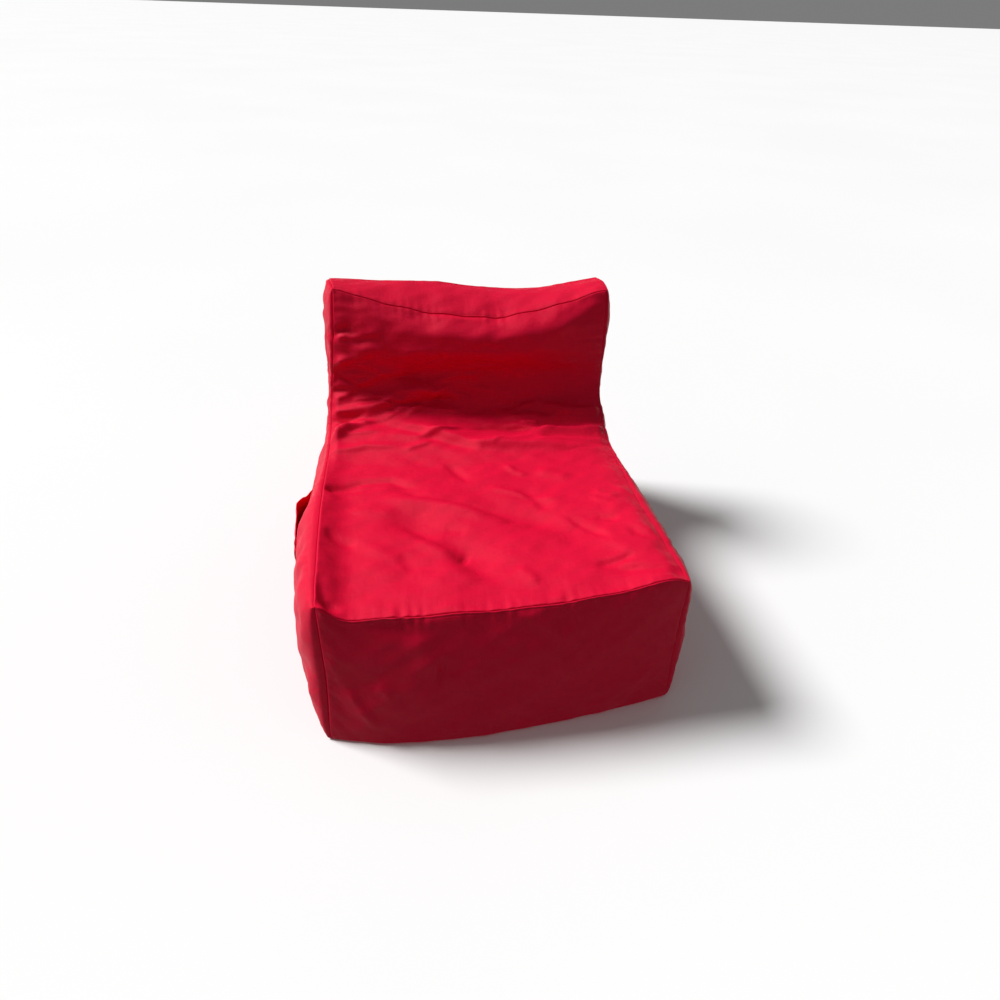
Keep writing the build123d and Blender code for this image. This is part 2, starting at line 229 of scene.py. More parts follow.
def column(t):
    """The ring's points at t across the chair, -1 to 1, without their x."""
    fb, ft, bt, rt, rb = (f(t) for f in (front_bottom, front_top, back_top, rear_top, rear_bottom))
    v = np.linspace(0, 1, 40)[:, None]
    belly = np.array([0, -1, 0]) * 0.014 * bow(t) ** 0.6 * np.sin(math.pi * v) ** 0.9
    front = along_curve(fb + (ft - fb) * v + belly, N_LOW)
    seat, back = seat_and_back(t, ft, bt)
    crown = np.array([0, 0, 1]) * 0.012 * (0.4 + 0.6 * bow(t)) * np.sin(math.pi * v)
    top = along_curve(bt + (rt - bt) * v + crown, N_DEEP)
    rear = rear_curve(rt, rb)
    base = along_curve([rb, rb + [0, -0.006, -0.0035], fb + [0, 0.006, -0.0035], fb], N_DEEP + N_SEAT)
    return np.concatenate([front, seat[1:], back[1:], top[1:], rear[1:], base[1:]])


def seat_and_back(t, ft, bt):
    """The seat's and the backrest's stretch of a column, round the crease between them."""
    crease = np.array([0, CREASE_Y - 0.012 * bow(t), CREASE_Z + 0.006 * bow(t)])
    seat_way, back_way = ft - crease, bt - crease
    a = crease + seat_way / np.linalg.norm(seat_way) * (2.1 + 0.7 * bow(t)) * CREASE_RADIUS
    b = crease + back_way / np.linalg.norm(back_way) * (1.1 + 0.5 * bow(t)) * CREASE_RADIUS
    w = np.linspace(0, 1, 60)[:, None]
    bend = a * (1 - w) ** 2 + 2 * crease * w * (1 - w) + b * w**2
    v = np.linspace(0, 1, 90)[:, None]
    seat = ft + (a - ft) * v + np.array([0, 0, 1]) * 0.010 * np.sin(math.pi * v) ** 0.8
    full = 0.012 + 0.036 * (1 - abs(t) ** (2.0 if t < 0 else 3.0))
    roll = full * np.sin(math.pi / 2 * np.clip((1 - v) / 0.34, 0, 1))
    back = b + (bt - b) * v + np.array([0, -1, 0.12]) * roll * smooth_step(v / 0.45)
    half = len(bend) // 2
    return (
        along_curve(np.concatenate([seat, bend[1:half]]), N_SEAT),
        along_curve(np.concatenate([bend[half - 1 :], back[1:]]), N_HIGH),
    )


def rear_curve(rt, rb):
    """The rear's stretch of a column: down the slope to the plumb strip, past the zip and down."""
    knee = np.array([0, REAR_Y, REAR_UPRIGHT])
    level = np.array([0, REAR_Y + (rt[1] - REAR_Y) * (CREASE_Z - knee[2]) / (rt[2] - knee[2]), CREASE_Z])
    stops = [rt, level, knee, [0, REAR_Y, SLOT_HIGH], [0, REAR_Y, SLOT_LOW], rb]
    cells = [N_HIGH, N_SLOPE, N_STRIP, N_SLOT, N_LOW - N_SLOPE - N_STRIP - N_SLOT]
    runs = [along_curve([stops[i], stops[i + 1]], n)[1:] for i, n in enumerate(cells)]
    return np.concatenate([[rt], *runs])


def filled_ring():
    """The band round the bag as an array of rows by columns of points."""
    t = np.linspace(-1, 1, N_WIDE + 1)
    ring = np.stack([column(value) for value in t], axis=1)
    right, left = side_edges()
    rows = np.arange(len(right))
    up_back = smooth_step((rows - ROW_CREASE) / (0.8 * N_HIGH)) * (1 - smooth_step((rows - ROW_BT) / N_DEEP))
    right, left = right + DRAWN_IN[-1] * up_back, left - DRAWN_IN[1] * up_back
    ring[:, :, 0] = right[:, None] + (left - right)[:, None] * (t[None, :] + 1) / 2
    return ring[:-1]


# ------------------------------------------------------------------ the sides, as full grids
I_LAST, J_LAST = N_SEAT + N_DEEP, N_LOW + N_HIGH


def ring_row(i, j):
    """The ring's row at the side grid's place i along Y and j up Z, or None inside the side."""
    if i == 0 and j <= N_LOW:
        return j
    if j == N_LOW and i <= N_SEAT:
        return ROW_FT + i
    if i == N_SEAT and j >= N_LOW:
        return ROW_CREASE + j - N_LOW
    if j == J_LAST:
        return ROW_BT + i - N_SEAT
    if i == I_LAST:
        return ROW_RT + J_LAST - j
    if j == 0:
        return (ROW_RB + I_LAST - i) % N_RING
    return None


def block_fill(low, high, left, right):
    """A grid of points between four edges, each an array of points."""
    u = np.linspace(0, 1, len(low))[:, None, None]
    v = np.linspace(0, 1, len(left))[None, :, None]
    spots = (1 - u) * left[None] + u * right[None] + (1 - v) * low[:, None] + v * high[:, None]
    corners = (1 - u) * (1 - v) * low[0] + u * (1 - v) * low[-1]
    return spots - corners - (1 - u) * v * high[0] - u * v * high[-1]


def flat_side(edge):
    """The flat side that closes one end of the ring; edge holds the ring's points at that end."""
    side = np.full((I_LAST + 1, J_LAST + 1, 3), np.nan)
    floor_row = ROW_RB + N_DEEP
    foot, crease, level = edge[floor_row], edge[ROW_CREASE], edge[ROW_RC]
    post = foot + (crease - foot) * np.linspace(0, 1, N_LOW + 1)[:, None]
    shelf = crease + (level - crease) * np.linspace(0, 1, N_DEEP + 1)[:, None]
    base = np.concatenate([edge[ROW_RB:], edge[:1]])[::-1]
    rear = edge[ROW_RT : ROW_RB + 1][::-1]
    side[: N_SEAT + 1, : N_LOW + 1] = block_fill(
        base[: N_SEAT + 1], edge[ROW_FT : ROW_CREASE + 1], edge[: N_LOW + 1], post
    )
    side[N_SEAT:, : N_LOW + 1] = block_fill(base[N_SEAT:], shelf, post, rear[: N_LOW + 1])
    side[N_SEAT:, N_LOW:] = block_fill(
        shelf, edge[ROW_BT : ROW_RT + 1], edge[ROW_CREASE : ROW_BT + 1], rear[N_LOW:]
    )
    return side


def swelling(side):
    """How far a side swells, 0 to 1: a stretched skin's shape, fullest low in its middle."""
    inner = ~np.isnan(side[:, :, 0])
    inner[0] = inner[-1] = False
    inner[:, 0] = inner[:, -1] = False
    inner[: N_SEAT + 1, N_LOW] = False
    inner[N_SEAT, N_LOW:] = False
    swell = np.zeros(inner.shape)
    for _ in range(3600):
        swell[1:-1, 1:-1] = (swell[2:, 1:-1] + swell[:-2, 1:-1] + swell[1:-1, 2:] + swell[1:-1, :-2]) / 4
        swell = np.where(inner, swell + 1.0, 0.0)
    return (swell / swell.max()) ** 0.5


def full_side(edge, hand, full):
    """A side with its swelling, least of it beside the crease, and the swelling."""
    side = flat_side(edge)
    swell = swelling(side)
    j = np.arange(J_LAST + 1)[None, :]
    i = np.arange(I_LAST + 1)[:, None]
    low = CREASE_PULL[hand] * smooth_step((j - 0.40 * N_LOW) / (0.55 * N_LOW))
    high = BACK_SWELL[hand] * smooth_step((j - N_LOW - 0.25 * N_HIGH) / (0.5 * N_HIGH))
    ease = 1 - (low - high) * smooth_step((i - 70) / 75)
    side[:, :, 0] += hand * full * swell * ease
    return side, swell


def make_piece(name, points, faces, flat=None, smooth=True):
    """A mesh object; flat holds each point's place on the cloth before sewing, for the weave."""
    mesh = bpy.data.meshes.new(name)
    faces = faces.tolist() if isinstance(faces, np.ndarray) else faces
    mesh.from_pydata(np.asarray(points).tolist(), [], faces)
    if flat is not None:
        layer = mesh.uv_layers.new(name="cloth")
        corners = np.empty(len(mesh.loops), np.int32)
        mesh.loops.foreach_get("vertex_index", corners)
        layer.data.foreach_set("uv", np.asarray(flat)[corners].ravel())
    if smooth:
        mesh.polygons.foreach_set("use_smooth", np.ones(len(mesh.polygons), bool))
    mesh.update()
    piece = bpy.data.objects.new(name, mesh)
    bpy.context.collection.objects.link(piece)
    return piece


def tube_faces(count, around, first=0):
    """Faces of a closed tube of count rings of around points each, numbered from first."""
    index = first + np.arange(count * around).reshape(count, around)
    beside = np.roll(index, -1, axis=1)
    sides = np.stack([index[:-1], beside[:-1], beside[1:], index[1:]], axis=-1)
    return sides.reshape(-1, 4).tolist() + [index[0][::-1].tolist(), index[-1].tolist()]


def circles(centres, first, second, radius, count):
    """A circle of count points about each centre, in the plane of the two directions there."""
    angle = np.linspace(0, 2 * math.pi, count, endpoint=False)[None, :, None]
    return centres[:, None] + radius * (first[:, None] * np.cos(angle) + second[:, None] * np.sin(angle))


def at_places(grid, rows, columns):
    """A grid's values at fractional rows and columns."""
    grid = np.nan_to_num(grid)
    rows, columns = np.asarray(rows, float), np.asarray(columns, float)
    r = np.minimum(rows.astype(int), grid.shape[0] - 2)
    c = np.minimum(columns.astype(int), grid.shape[1] - 2)
    down, over = (rows - r)[:, None, None], (columns - c)[None, :, None]
    near = grid[r][:, c] * (1 - over) + grid[r][:, c + 1] * over
    far = grid[r + 1][:, c] * (1 - over) + grid[r + 1][:, c + 1] * over
    return near * (1 - down) + far * down


# ------------------------------------------------------------------ how the slack cover settles
SIM_STEP = 4  # the simulated cloth has every fourth place of the grids
SIM_FRAMES = 22
MOST_MOVE = 0.008  # cap on how far the simulation moves a place
SLACK = [1.015, 1.065, 1.065]  # how much larger the cover is cut than its filling, along X, Y and Z
HOLD, SIDE_HOLD = 0.17, 0.60  # how firmly the filling holds the band and the sides between seams


def welded(step):
    """The ring and sides as one closed mesh of every step-th place: numbers of the places, and faces."""
    rows, columns = N_RING // step, N_WIDE // step + 1
    band = np.arange(rows * columns).reshape(rows, columns)
    upper = np.roll(band, -1, axis=0)
    faces = {0: np.stack([band[:, :-1], band[:, 1:], upper[:, 1:], upper[:, :-1]], axis=-1)}
    numbers, count = {0: band}, band.size
    for hand in (-1, 1):
        own = np.full((I_LAST // step + 1, J_LAST // step + 1), -1)
        for i in range(own.shape[0]):
            for j in range(own.shape[1]):
                row = ring_row(i * step, j * step)
                if row is not None:
                    own[i, j] = band[row // step, 0 if hand < 0 else -1]
                elif j * step < N_LOW or i * step > N_SEAT:
                    own[i, j] = count
                    count += 1
        corners = np.stack([own[:-1, :-1], own[:-1, 1:], own[1:, 1:], own[1:, :-1]], axis=-1)
        corners = corners[(corners >= 0).all(axis=2)]
        faces[hand] = corners[:, ::-1] if hand > 0 else corners
        numbers[hand] = own
    return numbers, faces, count


def gathered(numbers, count, ring, sides, step):
    """One array of points for a welded mesh, from the ring's grid and the sides' grids."""
    points = np.zeros((count, ring.shape[2]))
    for hand in (-1, 1):
        own, side = numbers[hand], sides[hand][::step, ::step]
        points[own[own >= 0]] = side[own >= 0]
    points[numbers[0].ravel()] = ring[::step, ::step].reshape(-1, ring.shape[2])
    return points


def settle(ring, sides):
    """How far the ring's and the sides' places move when the cover, cut larger than its filling, settles."""
    numbers, faces, count = welded(SIM_STEP)
    points = gathered(numbers, count, ring, sides, SIM_STEP)
    everything = np.concatenate([faces[0].reshape(-1, 4), faces[-1], faces[1]])
    cloth = make_piece("settling", points, everything)
    cloth.shape_key_add(name="Basis")
    loose = cloth.shape_key_add(name="loose")
    loose.data.foreach_set("co", (points * SLACK).ravel())
    hold = np.full(count, SIDE_HOLD)
    hold[: numbers[0].size] = HOLD
    seams = [row // SIM_STEP for row in (0, ROW_FT, ROW_BT, ROW_RT, ROW_RB)]
    hold[numbers[0][seams]] = 1.0
    hold[numbers[0][:, [0, -1]]] = 1.0
    x, y, z = points.T
    behind = y > rear_y(z) - 0.012
    hold[(z < 0.006) | (behind & ((z < 0.18) | ((z > 0.48) & (np.abs(x) < 0.21))))] = 1.0
    group = cloth.vertex_groups.new(name="hold")
    for number, weight in enumerate(hold):
        group.add([number], float(weight), "REPLACE")
    modifier = cloth.modifiers.new("cloth", "CLOTH")
    settings = modifier.settings
    settings.quality = 6
    settings.mass = 0.25
    settings.tension_stiffness = settings.compression_stiffness = 30
    settings.shear_stiffness = 10
    settings.bending_stiffness = 0.8
    settings.vertex_group_mass = "hold"
    settings.pin_stiffness = 0.8
    settings.rest_shape_key = loose
    settings.use_pressure = True
    settings.uniform_pressure_force = 3
    settings.effector_weights.gravity = 0.3
    modifier.collision_settings.use_collision = False
    modifier.point_cache.frame_end = SIM_FRAMES
    scene = bpy.context.scene
    scene.frame_start, scene.frame_end = 1, SIM_FRAMES
    for frame_number in range(1, SIM_FRAMES + 1):
        scene.frame_set(frame_number)
    shaped = cloth.evaluated_get(bpy.context.evaluated_depsgraph_get()).to_mesh()
    moved = np.empty(count * 3)
    shaped.vertices.foreach_get("co", moved)
    moved = moved.reshape(-1, 3) - points
    far = np.linalg.norm(moved, axis=1, keepdims=True)
    moved *= MOST_MOVE * np.tanh(far / MOST_MOVE) / np.maximum(far, 1e-9)
    bpy.data.objects.remove(cloth, do_unlink=True)
    scene.frame_set(1)
    return moved, numbers


def softened(grid, times=10):
    """A grid of moves with its corners rounded off between the simulated places."""
    for _ in range(times):
        for axis in (0, 1):
            padded = np.pad(grid, [(1, 1) if k == axis else (0, 0) for k in range(3)], mode="edge")
            before, after = (np.take(padded, np.arange(k, k + grid.shape[axis]), axis) for k in (0, 2))
            grid = (before + 2 * grid + after) / 4
    return grid


def settled_moves(ring, sides):
    moved, numbers = settle(ring, sides)
    moves = {}
    for key, grid in ((0, ring), (-1, sides[-1]), (1, sides[1])):
        coarse = np.where(numbers[key][..., None] >= 0, moved[numbers[key]], 0)
        if key == 0:
            coarse = np.concatenate([coarse, coarse[:1]])
        rows, columns = np.arange(grid.shape[0]) / SIM_STEP, np.arange(grid.shape[1]) / SIM_STEP
        moves[key] = softened(at_places(coarse, rows, columns))
    return moves


# ------------------------------------------------------------------ folds in the cloth
def fold(spots, line, height, left, right):
    """A fold's height at each spot, fading over left and right of its line and at its free ends."""
    line = np.asarray(line, float)
    lengths = np.linalg.norm(np.diff(line, axis=0), axis=1)
    nearest = np.full(spots.shape[:-1], 9.0)
    turn, along = np.zeros_like(nearest), np.zeros_like(nearest)
    run = 0.0
    for start, end, length in zip(line[:-1], line[1:], lengths):
        way = (end - start) / length
        offset = spots - start
        reach = np.clip(offset @ way, 0, length)
        distance = np.linalg.norm(offset - reach[..., None] * way, axis=-1)
        closer = distance < nearest
        nearest = np.where(closer, distance, nearest)
        turn = np.where(closer, way[0] * offset[..., 1] - way[1] * offset[..., 0], turn)
        along = np.where(closer, (run + reach) / lengths.sum(), along)
        run += length
    sewn_in = abs(line[0][0]) > 0.33  # the fold starts at a side seam
    start = 1.0 if sewn_in else smooth_step(along / 0.3)
    fade = 0.1 + 0.9 * start * smooth_step((1 - along) / 0.3)
    return height * fade * bell(nearest / np.where(turn > 0, left, right))


def random_folds(seed, count, x_range, s_range, tilt, spread, height, reach):
    """Small folds placed at random in a patch of cloth, running at about the tilt given, in radians."""
    rng = np.random.default_rng(seed)
    folds = []
    for _ in range(count):
        middle = np.array([rng.uniform(*x_range), rng.uniform(*s_range)])
        angle = tilt + rng.normal(0, spread)
        half = rng.uniform(0.025, 0.085) * np.array([math.cos(angle), math.sin(angle)])
        bend = rng.normal(0, 0.008, 2)
        wide = reach * rng.uniform(0.7, 1.5)
        rise = height * rng.uniform(0.4, 1.3) * rng.choice([1, -1, 1])
        folds.append(([middle - half, middle + bend, middle + half], rise, wide, wide * rng.uniform(0.5, 1)))
    return folds


# The folds seen on the chair, as points (x, s) along each: s runs up from the front seam over the
# seat and the backrest, and down the front below it. Then the height, and how far each slope reaches.
SEEN_FOLDS = [
    ([(-0.345, 0.620), (-0.105, 0.585), (0.010, 0.545), (0.156, 0.530), (0.345, 0.520)], 0.021, 0.075, 0.095),
    ([(-0.346, 0.694), (-0.237, 0.702), (-0.131, 0.728), (-0.060, 0.775)], 0.018, 0.036, 0.013),
    ([(-0.346, 0.590), (-0.301, 0.634), (-0.235, 0.662)], 0.013, 0.020, 0.010),
    ([(-0.346, 0.640), (-0.280, 0.668), (-0.190, 0.678)], -0.007, 0.012, 0.010),
    ([(-0.243, 0.682), (-0.105, 0.607), (0.010, 0.537), (0.156, 0.525), (0.335, 0.488)], 0.013, 0.028, 0.016),
    ([(-0.200, 0.630), (-0.060, 0.560), (0.080, 0.500)], -0.005, 0.020, 0.016),
    ([(0.348, 0.672), (0.263, 0.672), (0.171, 0.692)], 0.014, 0.022, 0.010),
    ([(0.345, 0.598), (0.227, 0.598), (0.103, 0.578)], 0.015, 0.022, 0.011),
    ([(0.345, 0.640), (0.250, 0.632), (0.150, 0.640)], -0.006, 0.012, 0.010),
    ([(-0.346, 0.545), (-0.260, 0.560), (-0.180, 0.552)], 0.006, 0.014, 0.008),
    ([(0.345, 0.545), (0.220, 0.550), (0.120, 0.535)], 0.006, 0.014, 0.008),
    ([(-0.344, 0.780), (-0.280, 0.770), (-0.200, 0.790)], 0.006, 0.014, 0.009),
    ([(-0.344, 0.850), (-0.290, 0.840), (-0.230, 0.850)], 0.005, 0.012, 0.008),
    ([(-0.344, 0.394), (-0.274, 0.426), (-0.207, 0.429), (-0.142, 0.382)], -0.007, 0.010, 0.014),
    ([(-0.218, 0.409), (-0.154, 0.364), (-0.049, 0.316), (0.054, 0.276)], -0.006, 0.014, 0.011),
    ([(-0.344, 0.399), (-0.284, 0.395), (-0.212, 0.408)], -0.004, 0.010, 0.010),
    ([(-0.258, 0.365), (-0.145, 0.336), (-0.041, 0.290), (0.049, 0.248)], 0.011, 0.030, 0.024),
    (
        [(-0.216, 0.305), (-0.150, 0.238), (-0.075, 0.160), (-0.029, 0.105), (0.005, 0.065)],
        -0.018, 0.046, 0.032,
    ),
    ([(-0.205, 0.262), (-0.140, 0.200), (-0.075, 0.125)], 0.007, 0.016, 0.020),
    ([(-0.078, 0.156), (-0.058, 0.146)], -0.004, 0.018, 0.016),
    ([(-0.068, 0.348), (0.012, 0.289), (0.082, 0.255), (0.149, 0.194), (0.183, 0.117)], -0.015, 0.046, 0.030),
    ([(0.267, 0.089), (0.225, 0.082), (0.174, 0.081)], -0.007, 0.012, 0.008),
    ([(0.335, 0.024), (0.264, 0.047), (0.197, 0.070)], -0.006, 0.012, 0.010),
    ([(-0.349, 0.080), (-0.335, 0.030), (-0.300, 0.012)], -0.009, 0.014, 0.012),
    ([(-0.185, -0.030), (-0.160, -0.080), (-0.133, -0.120)], 0.007, 0.026, 0.022),
    ([(-0.140, -0.124), (-0.122, -0.127)], -0.005, 0.026, 0.020),
    ([(-0.313, -0.148), (-0.251, -0.267)], 0.004, 0.010, 0.010),
]
DIAGONAL = -0.65  # the way the seat's small folds run, radians
BAND_FOLDS = (
    SEEN_FOLDS
    + random_folds(3, 44, (-0.33, 0.33), (0.55, 0.82), 0.0, 0.20, 0.0064, 0.011)
    + random_folds(5, 34, (-0.34, -0.08), (0.64, 0.92), 0.15, 0.30, 0.0066, 0.010)
    + random_folds(7, 26, (-0.32, 0.32), (0.06, 0.48), DIAGONAL, 0.30, 0.0040, 0.014)
    + random_folds(11, 16, (-0.32, 0.32), (-0.30, -0.02), -0.9, 0.50, 0.0030, 0.018)
    + random_folds(13, 12, (-0.32, 0.32), (0.80, 0.98), 0.0, 0.40, 0.0018, 0.012)
)
REAR_FOLDS = random_folds(17, 30, (-0.32, 0.32), (0.16, 0.50), 0.1, 0.5, 0.0030, 0.014)
GATHER = 0.026  # spacing of the puckers that a seam's stitches pull in
# Ring row of each cross seam, then its puckers' seed, height and length.
SEAM_PUCKERS = ((ROW_FT, 41, 0.0030, 0.015), (ROW_BT, 44, 0.0022, 0.012), (ROW_RT, 47, 0.0014, 0.014))


def puckers(seed, along, off, height, length):
    """Short ridges at right angles to a seam: along runs with the seam, off away from it."""
    along = along[..., None]
    lively = waves(seed, 6, 5 * GATHER, along + 0.02 * waves(seed + 1, 3, 0.2, along)[..., None])
    ridges = waves(seed + 2, 5, GATHER, along)
    patches = np.clip(0.50 + 0.50 * np.tanh(lively), 0.25, 1)
    return height * ridges * patches * np.exp(-off / length) * (1 - np.exp(-off / 0.004))


def cells_of(rows, columns, keep=None):
    """The four corners of each cell of a grid of that many rows and columns, in order."""
    index = np.arange(rows * columns).reshape(rows, columns)
    faces = np.stack([index[:-1, :-1], index[:-1, 1:], index[1:, 1:], index[1:, :-1]], axis=-1)
    return faces[keep] if keep is not None else faces.reshape(-1, 4)


def unit(vectors):
    return vectors / np.maximum(np.linalg.norm(vectors, axis=-1, keepdims=True), 1e-12)


def vertex_normals(points, faces):
    a, b, c, d = (points[faces[:, k]] for k in range(4))
    across = np.cross(c - a, d - b)
    normals = np.zeros_like(points)
    for k in range(4):
        np.add.at(normals, faces[:, k], across)
    return unit(normals)


def grid_normals(grid, wrap=False):
    """Outward normals of a grid whose rows run round the bag and whose columns run along +X."""
    if wrap:
        down = np.roll(grid, -1, axis=0) - np.roll(grid, 1, axis=0)
    else:
        down = np.gradient(grid, axis=0)
    return unit(np.cross(np.gradient(grid, axis=1), down))


def wrinkled_ring(ring):
    """The ring with its folds, puckers and soft unevenness, and each place's run up from the front seam."""
    steps = np.linalg.norm(np.diff(ring, axis=0), axis=2)
    run = np.concatenate([np.zeros((1, N_WIDE + 1)), np.cumsum(steps, axis=0)])
    run = run - run[ROW_FT]
    x, z = ring[:, :, 0], ring[:, :, 2]
    spots = np.stack([x, run], axis=-1)
    rise = np.zeros(x.shape)
    over = slice(0, ROW_BT + 1)
    for line, height, left, right in BAND_FOLDS:
        rise[over] += fold(spots[over], line, height, left, right)
    behind = slice(ROW_RT, ROW_SLOT_HIGH + 1)
    for line, height, left, right in REAR_FOLDS:
        rise[behind] += fold(np.stack([x, z], axis=-1)[behind], line, height, left, right)
    crosswise = np.stack([x * 0.5, run], axis=-1)
    rise += 0.0015 * waves(31, 9, 0.09, crosswise) + 0.0006 * waves(32, 9, 0.035, crosswise)
    off_side = np.minimum(x - x[:, :1], x[:, -1:] - x)
    rise *= 0.25 + 0.75 * smooth_step(off_side / 0.022)
    for row in (ROW_FT, ROW_BT, ROW_RT):
        rise *= 0.15 + 0.85 * smooth_step(np.abs(run - run[row]) / 0.016)
    for row, seed, height, length in SEAM_PUCKERS:
        rise += puckers(seed, x, np.abs(run - run[row]), height, length)
    rise += puckers(51, run + 3 * (x > 0), off_side, 0.0015, 0.020)
    up_back = smooth_step((run - 0.52) / 0.08) * smooth_step((1.0 - run) / 0.05)
    rise += up_back * puckers(55, run + 3 * (x > 0), off_side, 0.0030, 0.035)
    rear = np.zeros(x.shape)
    rear[ROW_RT:ROW_RB] = 1.0
    full = smooth_step((z - 0.14) / 0.14) * smooth_step((0.52 - z) / 0.16) * smooth_step(off_side / 0.15)
    rise += rear * 0.010 * full
    plumb = smooth_step((z - 0.105) / 0.06)
    sewn = 1 - smooth_step((0.190 - np.abs(x)) / 0.03) * smooth_step((z - 0.500) / 0.02)
    rise *= 1 - rear * (1 - plumb * sewn)
    base = np.zeros(x.shape)
    base[ROW_RB + 1 :] = 1.0
    rise *= 1 - base * 0.85
    ring = ring + rise[..., None] * grid_normals(ring, wrap=True)
    ring[:, :, 2] = np.maximum(ring[:, :, 2], 0.0006)
    return ring, run


def side_normals(side, hand):
    """Outward normals of a side's grid, where it has places."""
    inside = ~np.isnan(side[:, :, 0])
    keep = inside[:-1, :-1] & inside[1:, :-1] & inside[:-1, 1:] & inside[1:, 1:]
    faces = cells_of(I_LAST + 1, J_LAST + 1, keep)
    return vertex_normals(side.reshape(-1, 3), faces).reshape(side.shape) * -hand


def wrinkled_side(ring, hand, moves):
    """A swollen side, moved as it settled, with its folds and the puckers along its seam."""
    side, swell = full_side(ring[:, 0 if hand < 0 else -1], hand, SWOLLEN[hand])
    side = side + np.where(swell[..., None] > 0, moves, 0)
    spots = side[:, :, 1:]
    rise = 0.0022 * waves(61 + hand, 9, 0.10, spots) + 0.0008 * waves(65 + hand, 9, 0.04, spots)
    folds = random_folds(19 + hand, 22, (-0.42, 0.36), (0.03, 0.30), 1.2, 0.5, 0.0030, 0.014)
    folds += random_folds(23 + hand, 10, (0.26, 0.38), (0.30, 0.60), 0.3, 0.5, 0.0030, 0.012)
    for line, height, left, right in folds:
        rise += fold(spots, line, height, left, right)
    off = seam_distance()
    rise *= smooth_step(off / 0.03)
    rise += puckers(71 + hand, spots.sum(axis=2), off, 0.0016, 0.018)
    side[:, :, 0] += hand * np.where(swell > 0, rise, 0)
    return side


def seam_distance(rows=None, columns=None):
    """Metres, about, from each place of a side's grid to its seam."""
    i = (np.arange(I_LAST + 1.0) if rows is None else np.asarray(rows))[:, None] * CELL_SEAT
    j = (np.arange(J_LAST + 1.0) if columns is None else np.asarray(columns))[None, :] * CELL_LOW
    seat_i, low_j = N_SEAT * CELL_SEAT, N_LOW * CELL_LOW
    below = np.minimum(i, np.minimum(j, I_LAST * CELL_SEAT - i))
    ceiling = np.where(i <= seat_i, low_j - j, np.hypot(i - seat_i, np.minimum(j - low_j, 0)))
    beside = np.minimum(np.minimum(i - seat_i, I_LAST * CELL_SEAT - i), J_LAST * CELL_LOW - j)
    return np.maximum(np.where(j <= low_j, np.minimum(below, ceiling), beside), 0)


CELL_SEAT, CELL_LOW = 0.0042, 0.0041
SWOLLEN = {-1: 0.066, 1: 0.058}  # how far the right and left sides swell
FILLED = filled_ring()
FULL_SIDES = {
    hand: full_side(FILLED[:, 0 if hand < 0 else -1], hand, full)[0] for hand, full in SWOLLEN.items()
}
MOVES = settled_moves(FILLED, FULL_SIDES)
RING, RUN = wrinkled_ring(FILLED + MOVES[0])
SIDES = {hand: wrinkled_side(RING, hand, MOVES[hand]) for hand in SWOLLEN}


# ------------------------------------------------------------------ shared normals along the seams
def shared_normals():
    """Normals of the ring and of the two sides, which agree along the seams between them."""
    ring_own = grid_normals(RING, wrap=True)
    side_own = {hand: side_normals(SIDES[hand], hand) for hand in SIDES}
    for hand, column_at in ((-1, 0), (1, -1)):
        for i in range(I_LAST + 1):
            for j in range(J_LAST + 1):
                row = ring_row(i, j)
                if row is not None and not np.isnan(SIDES[hand][i, j, 0]):
                    both = unit(ring_own[row, column_at] + side_own[hand][i, j])
                    ring_own[row, column_at] = both
                    side_own[hand][i, j] = both
    return ring_own, side_own


RING_N, SIDE_N = shared_normals()


# ------------------------------------------------------------------ panels of cloth
FINE = np.array([0, 0.0006, 0.0014, 0.0024, 0.0036, 0.0050, 0.0066, 0.0085])
STITCH_ROW = 5  # the place in FINE of a row of topstitching


def stations(first, last, cell, fine_first=True, fine_last=True, step=1):
    """Places from first to last: every step cells, and close together beside a seam."""
    near = FINE / cell
    head = first + near if fine_first else np.arange(first, first + 3)
    tail = last - near[::-1] if fine_last else np.arange(last - 2, last + 1)
    return np.concatenate([head, np.arange(first + 3, last - 2, step), tail])


def turned_in(off, topstitched):
    """How far the cloth turns in at a distance off a seam, with the ridge and groove of topstitching."""
    depth = 0.0034 * (1 - np.clip(off / 0.0040, 0, 1)) ** 2
    if topstitched:
        depth = depth - 0.0016 * bell((off - 0.0026) / 0.0018) + 0.0009 * bell((off - 0.0052) / 0.0010)
    return depth


def cloth_shell(name, points, faces, flat, thick=CLOTH):
    """A closed piece of cloth: its outer face, an inner face and the cut edge between them."""
    used, faces = np.unique(faces, return_inverse=True)
    faces = faces.reshape(-1, 4)
    points, flat = points[used], flat[used]
    count = len(points)
    inner = points - vertex_normals(points, faces) * thick
    ways = np.concatenate([faces[:, [k, (k + 1) % 4]] for k in range(4)])
    keys = ways[:, 0].astype(np.int64) * count + ways[:, 1]
    back = ways[:, 1].astype(np.int64) * count + ways[:, 0]
    rim = ways[~np.isin(keys, back)]
    edge = np.stack([rim[:, 1], rim[:, 0], rim[:, 0] + count, rim[:, 1] + count], axis=1)
    everything = np.concatenate([faces, faces[:, ::-1] + count, edge])
    return make_piece(name, np.concatenate([points, inner]), everything, np.concatenate([flat, flat]))


STITCHES = []  # rows of topstitching, each as its points and normals


